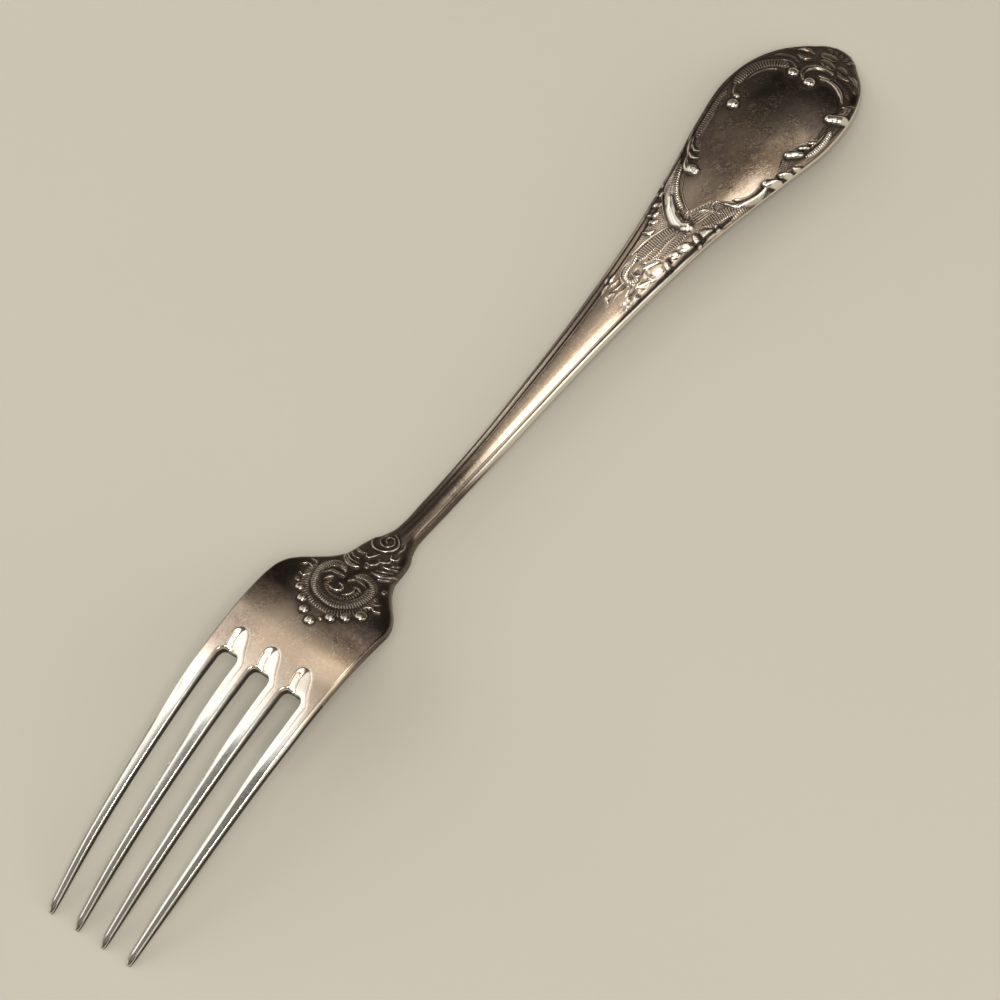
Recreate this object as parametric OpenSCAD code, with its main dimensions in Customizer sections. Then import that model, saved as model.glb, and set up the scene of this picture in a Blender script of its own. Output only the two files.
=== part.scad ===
// Table fork struck from one blank of metal, drawn lying back up on its tine tips and handle end.
// The blank is drawn as its named zones. They meet face to face on flat planes across the fork,
// and nothing on a real fork moves or comes apart. X runs from the tine tips to the handle end.

/* [Whole fork] */
// Overall length, tine tips to handle end
length = 205; // [190:1:225]
// Height of the back over the table at the root, its highest place
root_height = 17.9; // [14:0.1:22]
// Height of the back over the table along the stem
stem_height = 8.3; // [6.5:0.1:10]
// Height of the back over the table at the crest of the handle
crest_height = 9.2; // [7:0.1:11]
// Depth worn flat where the tips and the handle end touch the table
wear_depth = 0.3; // [0.15:0.05:0.5]

/* [Tines] */
// Length of the slots, tine tips to slot ends
slot_length = 49.8; // [40:0.1:54]
// Length of the slot ends inside the root plate, from the plane where the tines join it
slot_end_length = 3.8; // [2.8:0.1:6]
// Width of each slot where the tines join the root
slot_w = 4.05; // [3.4:0.05:4.6]
// Radius of the corners at the slot ends
slot_corner_r = 1.3; // [0.6:0.1:1.6]
// Distance between the middles of the outer tines at their tips
tip_spread = 16.9; // [14:0.1:20]
// Width of a tine a short way behind its tip
tip_w = 1.25; // [0.9:0.05:1.6]
// Width of a tine halfway along
tine_mid_w = 1.85; // [1.5:0.05:2.4]
// Thickness of a tine at its tip
tip_t = 1.1; // [0.8:0.05:1.4]
// Length of the worn point of a tine
point_length = 2; // [1:0.1:3]
// Chamfer along the back edges of a tine
tine_chamfer = 0.35; // [0.15:0.05:0.45]
// Length of the flute that runs on from each slot end over the back
flute_length = 4.4; // [2:0.1:6]
// Depth of the flute at the slot end
flute_depth = 1.15; // [0.5:0.05:1.4]
// Radius of the flute
flute_r = 1.1; // [0.7:0.05:1.6]

/* [Head] */
// Width across the head at the shoulders
head_w = 24; // [22:0.5:28]
// Thickness of the plate at the root and along the tines
plate_t = 1.9; // [1.5:0.05:2.4]
// Length of the root without slots, slot ends to shoulders
root_length = 14.2; // [12:0.1:17]
// Length of the heel, shoulders to neck
heel_length = 24; // [20:0.5:28]
// Rounding of the edges of the plate
plate_edge_r = 0.5; // [0.2:0.05:0.7]
// Fall of the back from the middle to the edges of the plate
plate_crown = 0.5; // [0.2:0.05:1]

/* [Stem] */
// Width of the neck, the narrowest place
neck_w = 4.4; // [3.6:0.1:5.5]
// Thickness of the neck
neck_t = 3.4; // [2.6:0.1:4]
// Width of the stem where the ornament of the handle starts
throat_w = 9.2; // [7.5:0.1:11]
// Distance from the handle end to the start of its ornament
ornament_length = 60; // [55:1:66]
// Thickness of the stem at the throat
throat_t = 2.8; // [2.2:0.1:3.4]
// Width of one thread along the edges of the stem
thread_w = 0.5; // [0.3:0.05:0.6]
// Height of the threads over the groove beside them
thread_height = 0.22; // [0.1:0.02:0.35]
// Rounding of the edges of the stem
stem_edge_r = 0.95; // [0.5:0.05:1.1]
// Fall of the back from the middle to the edges of the stem
stem_crown = 0.85; // [0.4:0.05:1]

/* [Handle] */
// Width of the handle at its widest place
handle_w = 22.6; // [19:0.2:26]
// Distance from the handle end to its widest place
end_length = 19; // [16:0.5:22]
// Thickness of the handle at its widest place
handle_t = 2.3; // [1.8:0.1:2.8]
// Thickness of the handle at its end
end_t = 1.8; // [1.5:0.1:2.2]
// Width left flat across the very end
nose_w = 1.8; // [1:0.1:3]
// Width of the raised rim along the handle edge
rim_w = 1.1; // [0.7:0.1:1.5]
// Height of the raised rim
rim_height = 0.3; // [0.1:0.05:0.5]

/* [Ornament] */
// Height of the scrolls over the ground
scroll_height = 0.5; // [0.2:0.05:0.8]
// Width of a scroll
scroll_w = 1.5; // [1:0.1:2.2]
// Radius of the knobs, buds and beads
bead_r = 0.95; // [0.6:0.05:1.3]
// Radius of the ring on the heel
ring_r = 4.7; // [4:0.1:5.2]
// Width of the milled band around the ring
milled_w = 1.5; // [1:0.1:2]
// Distance from the shoulders to the middle of the ring
ring_place = 7; // [6:0.5:8]
// Distance from the middle of the ring to the beads around it
bead_ring_r = 7.8; // [7.2:0.1:8.6]
// Distance between the lines of the ornament's surface
relief_step = 0.75; // [0.6:0.05:1.2]
// Distance between the lines of the plain surfaces
plain_step = 1.6; // [1:0.1:3]

/* [Hidden] */
$fn = 48;
tine_lines = 26;
cut = 1;
tine_length = slot_length - slot_end_length;
shoulder_place = slot_length + root_length;
neck_place = shoulder_place + heel_length;
throat_place = length - ornament_length;
widest_place = length - end_length;
plate_end = shoulder_place - (bead_ring_r + bead_r) * 0.4;
collar_place = shoulder_place + heel_length * 0.64;
shield_place = throat_place + ornament_length * 0.28;
tip_place = throat_place + ornament_length * 0.65;
ring_middle = shoulder_place + ring_place;

// Tines: share of the slots' length from the tips, and share of the root's height
tine_arc_shares = [[0.24, 0.365], [0.5, 0.625], [0.8, 0.875], [1, 0.977]];
// Back from the shoulders to the neck: share of the heel's length, and share of the fall from root to stem
heel_arc_shares = [[0, 0.07], [0.25, 0.26], [0.58, 0.575], [0.92, 0.79], [1.3, 0.915]];
// Outline of the head: share of the distance from tips to shoulders, and share of the head's width
head_outline_shares = [[0.19, 0.83], [0.39, 0.892], [0.625, 0.954], [0.86, 0.988], [1, 1]];
// Outline of the heel: share of its length, and share of the way from the neck's width to the head's
heel_outline_shares = [[0.125, 0.99], [0.21, 0.94], [0.29, 0.815], [0.375, 0.61], [0.47, 0.4], [0.56, 0.285],
    [0.67, 0.245], [0.75, 0.195], [0.83, 0.09], [0.94, 0.015], [1.08, 0], [1.33, 0]];
// Outline of the stem: share of the way from neck to throat, and share of the growth in width
stem_outline_shares = [[0.33, 0.08], [0.54, 0.27], [0.78, 0.57], [1, 1]];
// Outline of the handle: share of the way from throat to widest place, and share of the growth in width
handle_outline_shares = [[0.35, 0.26], [0.6, 0.55], [0.79, 0.8], [1, 1]];
end_fullness = 2.3;
end_bluntness = 0.66;

// Every curve below is a list of [place along the fork, value], joined smoothly without overshoot
function rise(k, i) = (k[i + 1][1] - k[i][1]) / (k[i + 1][0] - k[i][0]);
function blend_slope(a, b) = a * b <= 0 ? 0 : 2 * a * b / (a + b);
function slope_at(k, i) = i == 0 ? rise(k, 0) : i == len(k) - 1 ? rise(k, i - 1)
    : blend_slope(rise(k, i - 1), rise(k, i));
function hermite(t, v0, v1, m0, m1) = v0 * (1 + 2 * t) * pow(1 - t, 2) + v1 * t * t * (3 - 2 * t)
    + m0 * t * pow(1 - t, 2) - m1 * t * t * (1 - t);
function span(k, x, i) = let (h = k[i + 1][0] - k[i][0])
    hermite((x - k[i][0]) / h, k[i][1], k[i + 1][1], slope_at(k, i) * h, slope_at(k, i + 1) * h);
function curve(k, x, i = 0) = (i >= len(k) - 2 || x <= k[i + 1][0]) ? span(k, x, i) : curve(k, x, i + 1);
function mix(a, b, share) = a + (b - a) * share;

back_line = concat(
    [[0, tip_t - wear_depth / 2]],
    [for (s = tine_arc_shares) [s[0] * slot_length, s[1] * root_height]],
    [[mix(slot_length, shoulder_place, 0.5), root_height]],
    [for (s = heel_arc_shares) [shoulder_place + s[0] * heel_length, mix(root_height, stem_height, s[1])]],
    [[mix(neck_place, throat_place, 0.42), stem_height]],
    [[mix(neck_place, throat_place, 0.74), mix(stem_height, crest_height, 0.11)]],
    [[mix(throat_place, widest_place, 0.12), mix(stem_height, crest_height, 0.44)]],
    [[mix(throat_place, widest_place, 0.49), crest_height]],
    [[mix(throat_place, widest_place, 0.73), crest_height]],
    [[widest_place, crest_height * 0.9]],
    [[mix(widest_place, length, 0.58), crest_height * 0.615], [length, end_t - wear_depth]]);
thickness_line = [[0, tip_t], [tine_length * 0.13, mix(tip_t, plate_t, 0.5)], [tine_length * 0.33, plate_t],
    [mix(tine_length, shoulder_place, 0.5), plate_t],
    [shoulder_place + heel_length * 0.25, mix(plate_t, neck_t, 0.2)],
    [shoulder_place + heel_length * 0.67, mix(plate_t, neck_t, 0.73)], [neck_place, neck_t],
    [throat_place, throat_t], [widest_place, handle_t], [length, end_t]];
crown_line = [[0, 0], [slot_length * 0.6, plate_crown * 0.8], [slot_length, plate_crown],
    [shoulder_place, plate_crown], [neck_place, stem_crown], [throat_place, stem_crown * 0.8],
    [widest_place, stem_crown * 0.6], [length, stem_crown * 0.35]];
belly_line = [[0, 1], [shoulder_place, 1], [neck_place, -0.55], [throat_place, -0.1],
    [widest_place, 0.7], [length, 0.7]];
edge_line = [[0, plate_edge_r], [shoulder_place, plate_edge_r], [neck_place, stem_edge_r],
    [throat_place, stem_edge_r], [widest_place, plate_edge_r], [length, plate_edge_r]];
front_edge_line = [[0, plate_edge_r * 0.1], [tine_length, plate_edge_r * 0.1],
    [shoulder_place, plate_edge_r * 0.8], [neck_place, stem_edge_r * 0.9], [throat_place, stem_edge_r * 0.9],
    [widest_place, plate_edge_r * 0.9], [length, plate_edge_r * 0.9]];
outline = concat(
    [[0, (tip_spread + tip_w) / 2]],
    [for (s = head_outline_shares) [s[0] * shoulder_place, s[1] * head_w / 2]],
    [for (s = heel_outline_shares) [shoulder_place + s[0] * heel_length, mix(neck_w, head_w, s[1]) / 2]],
    [for (s = stem_outline_shares) [mix(neck_place, throat_place, s[0]), mix(neck_w, throat_w, s[1]) / 2]],
    [for (s = handle_outline_shares)
        [mix(throat_place, widest_place, s[0]), mix(throat_w, handle_w, s[1]) / 2]]);

function end_share(x) = pow(max(0, 1 - pow((x - widest_place) / end_length, end_fullness)), end_bluntness);
function half_w(x) = x <= widest_place ? curve(outline, x) : max(nose_w / 2, handle_w / 2 * end_share(x));
function edge_drop(d, r) = d >= r ? 0 : r - sqrt(r * r - pow(r - d, 2));

// Relief on the back: ridges along open lines, domes on points, and a rim or threads beside the edges
function along(p, a, b) = max(0, min(1, (p - a) * (b - a) / ((b - a) * (b - a))));
function to_line(p, line) = min([for (i = [0 : len(line) - 2])
    norm(p - line[i] - (line[i + 1] - line[i]) * along(p, line[i], line[i + 1]))]);
function ridge(d, w, h) = d >= w / 2 ? 0 : h * sqrt(1 - pow(2 * d / w, 2));

// Scrolls of the handle: share of the ornament's length from its start, and share of half the handle's width
scroll_shares = [
    [[0.04, -0.15], [0.01, -0.04], [0.03, 0.11], [0.09, 0.18], [0.15, 0.18], [0.21, 0.07]],
    [[0.35, 0.64], [0.28, 0.42], [0.24, 0.13], [0.225, -0.09], [0.25, -0.18]],
    [[0.33, -0.28], [0.37, -0.43], [0.42, -0.62], [0.48, -0.73]],
    [[0.40, 0.36], [0.42, 0.55], [0.46, 0.71]],
    [[0.64, 0.61], [0.69, 0.68], [0.74, 0.72], [0.79, 0.64], [0.83, 0.46], [0.83, 0.27]],
    [[0.83, -0.05], [0.84, 0.11], [0.87, 0.15], [0.90, 0.04], [0.90, -0.13]],
    [[0.85, -0.2], [0.86, -0.36], [0.84, -0.53], [0.81, -0.69], [0.77, -0.8]],
    [[0.48, -0.68], [0.51, -0.82], [0.56, -0.86]],
    [[0.59, -0.66], [0.61, -0.8], [0.66, -0.86]]];
// Knobs and buds of the handle, in the same shares
bud_shares = [[0.17, 0.27], [0.2, 0.34], [0.225, 0.41], [0.25, 0.48], [0.28, 0.54], [0.11, -0.35],
    [0.16, -0.32], [0.22, -0.43], [0.28, -0.56], [0.4, 0.37], [0.43, 0.47], [0.64, 0.61], [0.83, 0.27],
    [0.83, -0.05], [0.77, -0.81], [0.9, 0.33], [0.935, 0.13], [0.935, -0.1], [0.905, -0.35], [0.96, 0.26],
    [0.965, -0.02]];
function handle_point(s) = [throat_place + s[0] * ornament_length, s[1] * handle_w / 2];
scrolls = [for (line = scroll_shares) [for (s = line) handle_point(s)]];
buds = [for (s = bud_shares) handle_point(s)];

// Ring and beads of the heel, and the leaves between ring and neck
function polar(r, a) = [ring_middle + r * cos(a), r * sin(a)];
heel_ring = [for (a = [50 : 26 : 310]) polar(ring_r, a)];
heel_band = [for (a = [90 : 20 : 270]) polar(ring_r + milled_w * 0.8, a)];
heel_beads = [for (a = [100 : 20 : 260]) polar(bead_ring_r, a)];
// Leaves: share of the heel's length from the shoulders, and share of half the head's width, from root to tip
leaf_shares = [[[0.34, 0.35], [0.36, 0.14]], [[0.38, -0.05], [0.36, -0.2]], [[0.48, 0.3], [0.47, 0.1]],
    [[0.5, -0.16], [0.55, -0.34]], [[0.59, 0.13], [0.64, -0.01]], [[0.58, -0.06], [0.64, -0.18]],
    [[0.67, 0.17], [0.68, 0.02], [0.74, -0.07]], [[0.76, 0.12], [0.75, 0.02], [0.79, -0.02], [0.81, 0.06]]];
leaves = [for (line = leaf_shares) [for (s = line) [shoulder_place + s[0] * heel_length, s[1] * head_w / 2]]];

function tallest(list) = len(list) == 0 ? 0 : max(list);
function scroll_relief(p, lines) = tallest([for (line = lines)
    ridge(to_line(p, line), scroll_w, scroll_height)]);
function bead_relief(p, spots) = tallest([for (s = spots)
    ridge(norm(p - s), bead_r * 2, scroll_height * 1.2)]);
function heel_relief(p) = max(scroll_relief(p, concat([heel_ring], leaves)), bead_relief(p, heel_beads),
    ridge(to_line(p, heel_band), milled_w, scroll_height * 0.5));
function handle_relief(p) = max(scroll_relief(p, scrolls), bead_relief(p, buds));
function rim_relief(d) = d > rim_w * 1.4 ? 0 : ridge(abs(d - rim_w * 0.7), rim_w * 1.4, rim_height);
function thread_relief(d) = max(ridge(abs(d - thread_w * 0.8), thread_w, thread_height),
    ridge(abs(d - thread_w * 1.9), thread_w, thread_height)) - (d < thread_w * 2.5 ? thread_height : 0);
function rim_share(x) = max(0, min(1, (x - throat_place) / (ornament_length * 0.3)));
function thread_share(x) = max(0, min(1, (x - neck_place) / (heel_length * 0.15))) * (1 - rim_share(x));

function relief(x, y, d) = x < plate_end ? 0
    : x < neck_place ? heel_relief([x, y])
    : (x < throat_place ? 0 : handle_relief([x, y]))
        + rim_share(x) * rim_relief(d) + thread_share(x) * thread_relief(d);
// Relief fades out where the edge of the back rounds over
function kept(d, r) = min(1, d / r);

function back_z(x, y, w) = let (r = curve(edge_line, x), d = w - abs(y))
    curve(back_line, x) - curve(crown_line, x) * pow(y / w, 2) - edge_drop(d, r)
    + kept(d, r) * relief(x, y, d);
function front_z(x, y, w) = curve(back_line, x) - curve(thickness_line, x)
    - curve(crown_line, x) * curve(belly_line, x) * pow(y / w, 2)
    + edge_drop(w - abs(y), curve(front_edge_line, x));
// The points of a row lie closer together towards the edges
function across(w, n) = [for (j = [0 : n]) w * sin(90 * (2 * j / n - 1))];
function back_row(x, n) = let (w = half_w(x)) [for (y = across(w, n)) [x - length / 2, y, back_z(x, y, w)]];
function front_row(x, n) = let (w = half_w(x)) [for (y = across(w, n)) [x - length / 2, y, front_z(x, y, w)]];

// Closed skin over a grid of back points and a coarser grid of front points
function chain_faces(a, b) = let (m = (len(b) - 1) / (len(a) - 1))
    [for (i = [0 : len(a) - 2]) let (p = round(i * m), q = round((i + 1) * m))
        each (p == q ? [[a[i], a[i + 1], b[p]]] : [[a[i], a[i + 1], b[q]], [a[i], b[q], b[p]]])];
function turned(faces) = [for (f = faces) [f[0], f[2], f[1]]];
function grid_faces(rows, cols, base) = [for (i = [0 : rows - 2], j = [0 : cols - 2])
    let (a = base + i * cols + j, b = a + cols) each [[a, b, b + 1], [a, b + 1, a + 1]]];
module skin(back, front) {
    rows = len(back);
    cols = len(back[0]);
    front_rows = len(front);
    front_cols = len(front[0]);
    base = rows * cols;
    function b(i, j) = i * cols + j;
    function f(i, j) = base + i * front_cols + j;
    function b_line(j) = [for (i = [0 : rows - 1]) b(i, j)];
    function f_line(j) = [for (i = [0 : front_rows - 1]) f(i, j)];
    function b_row(i) = [for (j = [0 : cols - 1]) b(i, j)];
    function f_row(i) = [for (j = [0 : front_cols - 1]) f(i, j)];
    low_side = chain_faces(b_line(0), f_line(0));
    high_side = chain_faces(b_line(cols - 1), f_line(front_cols - 1));
    start = chain_faces(b_row(0), f_row(0));
    finish = chain_faces(b_row(rows - 1), f_row(front_rows - 1));
    polyhedron(
        points = concat([for (row = back) each row], [for (row = front) each row]),
        faces = concat(turned(grid_faces(rows, cols, 0)), grid_faces(front_rows, front_cols, base),
            low_side, turned(high_side), turned(start), finish));
}
// Zone of the blank between two planes; crowding draws its lines towards its end
module zone(from, to, step, step_across, crowding = 1) {
    widest = 2 * max(half_w(from), half_w(to));
    lines = round((to - from) / step * crowding);
    cols = round(widest / step_across);
    front_lines = round((to - from) / max(step, plain_step) * crowding);
    front_cols = round(widest / max(step_across, plain_step));
    function place(i, n) = to - (to - from) * pow(1 - i / n, crowding);
    skin([for (i = [0 : lines]) back_row(place(i, lines), cols)],
        [for (i = [0 : front_lines]) front_row(place(i, front_lines), front_cols)]);
}
module below_table() {
    translate([-length, -head_w * 2, -head_w]) cube([length * 2, head_w * 4, head_w]);
}

// Tines: equal gaps, narrowing and closing in towards the tips
tine_root_w = (half_w(tine_length) * 2 - 3 * slot_w) / 4;
tine_root_spread = half_w(tine_length) - tine_root_w / 2;
tine_width_line = [[0, tip_w * 0.5], [point_length * 0.35, tip_w * 0.85], [point_length, tip_w],
    [tine_length * 0.5, tine_mid_w], [tine_length, tine_root_w]];
tine_spread_line = [[0, tip_spread / 2], [tine_length * 0.33, mix(tip_spread / 2, tine_root_spread, 0.5)],
    [tine_length * 0.85, half_w(tine_length * 0.85) - curve(tine_width_line, tine_length * 0.85) / 2],
    [tine_length, tine_root_spread]];
point_line = [[0, plate_t * 0.25], [point_length * 0.4, plate_t * 0.08], [point_length, 0], [tine_length, 0]];
chamfer_line = [[0, tine_chamfer * 0.6], [point_length, tine_chamfer], [tine_length * 0.8, tine_chamfer],
    [tine_length, tine_chamfer * 0.1]];
function tine_y(x, side) = side * curve(tine_spread_line, x);
function tine_fall(x, y) = curve(crown_line, x) * pow(y / half_w(x), 2);
// Back of a tine from edge (-1) to edge (1); the chamfer runs on along the outer edges of the fork
function tine_back_row(x, side) = [for (e = [-1, -0.5, 0, 0.5, 1])
    let (c = e * side >= 0.5 ? curve(chamfer_line, min(x, tine_length * 0.8)) : curve(chamfer_line, x),
        w = curve(tine_width_line, x) / 2,
        y = tine_y(x, side) + (abs(e) == 1 ? e * w : 2 * e * (w - c)))
    [x - length / 2, y,
        curve(back_line, x) - curve(point_line, x) - tine_fall(x, y) - (abs(e) == 1 ? c : 0)]];
function tine_front_row(x, side) = [for (e = [-1, 0, 1])
    let (y = tine_y(x, side) + e * curve(tine_width_line, x) / 2)
    [x - length / 2, y, curve(back_line, x) - curve(thickness_line, x) - tine_fall(x, y)]];
module tine(side) {
    places = [for (i = [0 : tine_lines]) tine_length * pow(i / tine_lines, 1.5)];
    difference() {
        skin([for (x = places) tine_back_row(x, side)], [for (x = places) tine_front_row(x, side)]);
        below_table();
    }
}

// Slot with rounded corners, cut through the root plate
module slot_cut(y) {
    start = tine_length - cut;
    height = root_height * 2;
    translate([-length / 2, y, 0]) {
        translate([start, -slot_w / 2, 0]) cube([slot_length - slot_corner_r - start, slot_w, height]);
        translate([start, slot_corner_r - slot_w / 2, 0])
            cube([slot_length - start, slot_w - slot_corner_r * 2, height]);
        for (side = [-1, 1])
            translate([slot_length - slot_corner_r, side * (slot_w / 2 - slot_corner_r), 0])
                cylinder(r = slot_corner_r, h = height);
    }
}
// Flute that runs out over the back from the slot end
module flute_cut(y) {
    tilt = atan2(flute_depth, flute_length);
    run_out = slot_length + flute_length;
    translate([run_out - length / 2, y, curve(back_line, run_out) + flute_r])
        rotate([0, -90 - tilt, 0]) translate([0, 0, -cut]) cylinder(r = flute_r, h = flute_length + cut * 2);
}
slot_gap = half_w(tine_length) - tine_root_w - slot_w / 2;

module tine_1() { color("#c4c1ba") tine(1); }
module tine_2() { color("#c4c1ba") tine(1 / 3); }
module tine_3() { color("#c4c1ba") tine(-1 / 3); }
module tine_4() { color("#c4c1ba") tine(-1); }
module root_plate() {
    color("#bdb5a8") difference() {
        zone(tine_length, plate_end, plain_step, plain_step);
        for (y = [-slot_gap, 0, slot_gap]) {
            slot_cut(y);
            flute_cut(y);
        }
    }
}
module heel() {
    color("#8d8377") zone(plate_end, collar_place, relief_step * 0.8, relief_step * 0.8);
}
module neck() {
    color("#7c7266") zone(collar_place, neck_place, relief_step, relief_step * 0.8);
}
module stem() {
    color("#b3a999") zone(neck_place, throat_place, plain_step, thread_w * 0.8);
}
module handle_throat() {
    color("#a3988a") zone(throat_place, shield_place, relief_step, relief_step);
}
module handle_shield() {
    color("#8a7f74") zone(shield_place, tip_place, relief_step, relief_step);
}
module handle_tip() {
    color("#9a8f82") difference() {
        zone(tip_place, length, relief_step, relief_step, 1.25);
        below_table();
    }
}

tine_1();
tine_2();
tine_3();
tine_4();
root_plate();
heel();
neck();
stem();
handle_throat();
handle_shield();
handle_tip();
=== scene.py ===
"""Table fork of old silver plate, lying back up on a pale table.

Every surface of the fork is a function over its plan: x runs from the tine tips to the handle end and
y across it, both in millimetres, and the function gives the height over the table. A mesh is turned to
metres, with x counted from the middle of the fork, when it is made. The two numbers of an ease() on x
and the four of a span() are places along the fork.
"""
from math import pi
import bpy
import numpy as np
from mathutils import Matrix


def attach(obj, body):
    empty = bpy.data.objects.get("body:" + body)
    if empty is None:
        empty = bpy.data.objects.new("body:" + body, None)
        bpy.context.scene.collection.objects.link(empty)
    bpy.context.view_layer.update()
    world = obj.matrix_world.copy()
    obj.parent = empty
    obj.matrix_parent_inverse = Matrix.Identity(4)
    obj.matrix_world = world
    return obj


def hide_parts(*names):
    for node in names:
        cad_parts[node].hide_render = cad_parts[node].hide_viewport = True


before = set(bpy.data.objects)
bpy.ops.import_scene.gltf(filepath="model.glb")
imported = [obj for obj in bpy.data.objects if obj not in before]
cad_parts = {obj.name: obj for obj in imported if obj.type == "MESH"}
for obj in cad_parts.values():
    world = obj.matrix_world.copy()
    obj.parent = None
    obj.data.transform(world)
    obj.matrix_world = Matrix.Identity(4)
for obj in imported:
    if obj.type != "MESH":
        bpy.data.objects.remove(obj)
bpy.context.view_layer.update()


def stand(obj, across, upright, outward, place):
    """Links an object that stands at a place in metres, its x, y and z along the three directions."""
    turn_to = np.eye(4)
    turn_to[:3] = np.stack([across, upright, outward, place], 1)
    obj.matrix_world = Matrix(turn_to.tolist())
    bpy.context.scene.collection.objects.link(obj)


def aim_camera():
    """Camera on a long lens, 1.72 m away, tilted 30 degrees from straight down and rolled."""
    tilt, turn, roll = np.radians([29.898, -127.359, -15.828])
    aim, distance = np.array([-0.001108, -0.007304, 0.006]), 1.7233
    away = np.array([np.sin(tilt) * np.cos(turn), np.sin(tilt) * np.sin(turn), np.cos(tilt)])
    right = np.cross([0, 0, 1], away)
    right /= np.linalg.norm(right)
    up = np.cross(away, right)
    lens = bpy.data.cameras.new("camera")
    lens.lens, lens.sensor_width, lens.clip_start = 371.05, 36, 0.05
    camera = bpy.data.objects.new("camera", lens)
    across = np.cos(roll) * right + np.sin(roll) * up
    upright = np.cos(roll) * up - np.sin(roll) * right
    stand(camera, across, upright, away, aim + distance * away)
    bpy.context.scene.camera = camera


aim_camera()

# Sizes of the fork, the same as in the part's source
LENGTH, ROOT_HEIGHT, STEM_HEIGHT, CREST_HEIGHT, WEAR = 205.0, 17.9, 8.3, 9.2, 0.3
SLOT_LENGTH, SLOT_END, SLOT_W, SLOT_CORNER = 49.8, 3.8, 4.05, 1.3
TIP_SPREAD, TIP_W, MID_W, TIP_T, POINT = 16.9, 1.25, 1.85, 1.1, 2.0
HEAD_W, PLATE_T, ROOT_LENGTH, HEEL_LENGTH, PLATE_EDGE, PLATE_CROWN = 24.0, 1.9, 14.2, 24.0, 0.5, 0.5
NECK_W, NECK_T, THROAT_W, ORNAMENT, THROAT_T, STEM_EDGE, STEM_CROWN = 4.4, 3.4, 9.2, 60.0, 2.8, 0.95, 0.85
HANDLE_W, END_LENGTH, HANDLE_T, END_T, NOSE_W = 22.6, 19.0, 2.3, 1.8, 1.8
TINE_LENGTH = SLOT_LENGTH - SLOT_END
SHOULDER = SLOT_LENGTH + ROOT_LENGTH
NECK = SHOULDER + HEEL_LENGTH
THROAT = LENGTH - ORNAMENT
WIDEST = LENGTH - END_LENGTH
PLATE_END, COLLAR = SHOULDER - 3.5, SHOULDER + HEEL_LENGTH * 0.64
SHIELD, TIP = THROAT + ORNAMENT * 0.28, THROAT + ORNAMENT * 0.65

# Sizes that only this file has; the tines and the slots' ends run on as far as the common row
NOSE_WORN, NOSE_LEAN, NEAR_FALL, GROUND_SUNK = 0.75, 0.8, 0.4, 0.12
HANDLE_STEP, HEEL_STEP, COMMON, SCOOP_END = 0.088, 0.085, 51.0, 54.4


def mix(a, b, share):
    """a where share is 0 and b where it is 1."""
    return a + (b - a) * share


def ease(a, b, x):
    """0 below a, 1 above b, 3t^2 - 2t^3 between."""
    t = np.clip((x - a) / (b - a), 0, 1)
    return t * t * (3 - 2 * t)


def span(x, a, b, c, d):
    """Eases from 0 to 1 between a and b, and back to 0 between c and d."""
    return ease(a, b, x) * (1 - ease(c, d, x))


def bell(d, wide):
    """exp(-(d / wide)^2)."""
    return np.exp(-(d / wide) ** 2)


def curve(points, x):
    """Cubic pieces through (place, value) points.

    The slope at a point is 2ab / (a + b), where a and b are the rises beside it.
    """
    k = np.array(points, float)
    h = np.diff(k[:, 0])
    rise = np.diff(k[:, 1]) / h
    a, b = rise[:-1], rise[1:]
    same = a * b > 0
    slope = np.concatenate([rise[:1], np.where(same, 2 * a * b / np.where(same, a + b, 1), 0), rise[-1:]])
    x = np.asarray(x, float)
    i = np.clip(np.searchsorted(k[:, 0], x, side="left") - 1, 0, len(h) - 1)
    t = (x - k[i, 0]) / h[i]
    return (k[i, 1] * (1 + 2 * t) * (1 - t) ** 2 + k[i + 1, 1] * t * t * (3 - 2 * t)
            + slope[i] * h[i] * t * (1 - t) ** 2 - slope[i + 1] * h[i] * t * t * (1 - t))


FINE = np.linspace(0, LENGTH, 4101)


def line(points, blur=0.0):
    """The curve on a fine grid of x, averaged with a bell of the given width in mm, as a function of x."""
    value = curve(points, FINE)
    if blur:
        step = FINE[1]
        n = int(blur * 3 / step)
        weight = np.exp(-0.5 * (np.arange(-n, n + 1) * step / blur) ** 2)
        head = 2 * value[0] - value[n:0:-1]
        tail = 2 * value[-1] - value[-2:-n - 2:-1]
        value = np.convolve(np.concatenate([head, value, tail]), weight / weight.sum(), "valid")
    return lambda x: np.interp(x, FINE, value)


def run(x0, x1, v0, v1, *shares):
    """Points at shares of the way from x0 to x1 and from v0 to v1."""
    return [(mix(x0, x1, a), mix(v0, v1, b)) for a, b in shares]


back_line = line(
    [(0, TIP_T - WEAR / 2)]
    + run(0, SLOT_LENGTH, 0, ROOT_HEIGHT, (0.24, 0.365), (0.5, 0.625), (0.8, 0.875), (1, 0.977))
    + run(SLOT_LENGTH, SHOULDER, 0, ROOT_HEIGHT, (0.5, 1))
    + run(SHOULDER, NECK, ROOT_HEIGHT, STEM_HEIGHT, (0, 0.07), (0.25, 0.26), (0.58, 0.575), (0.92, 0.79),
          (1.3, 0.915))
    + run(NECK, THROAT, STEM_HEIGHT, CREST_HEIGHT, (0.42, 0), (0.74, 0.11))
    + run(THROAT, WIDEST, STEM_HEIGHT, CREST_HEIGHT, (0.12, 0.44), (0.49, 1), (0.73, 1))
    + run(WIDEST, LENGTH, 0, CREST_HEIGHT, (0, 0.9), (0.58, 0.615)) + [(LENGTH, END_T - WEAR)], 1.2)
thickness_line = line(
    run(0, TINE_LENGTH, TIP_T, PLATE_T, (0, 0), (0.13, 0.5), (0.33, 1))
    + run(TINE_LENGTH, SHOULDER, 0, PLATE_T, (0.5, 1))
    + run(SHOULDER, NECK, PLATE_T, NECK_T, (0.25, 0.2), (0.67, 0.73), (1, 1))
    + [(THROAT, THROAT_T), (WIDEST, HANDLE_T), (LENGTH, END_T)], 1.0)
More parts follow.
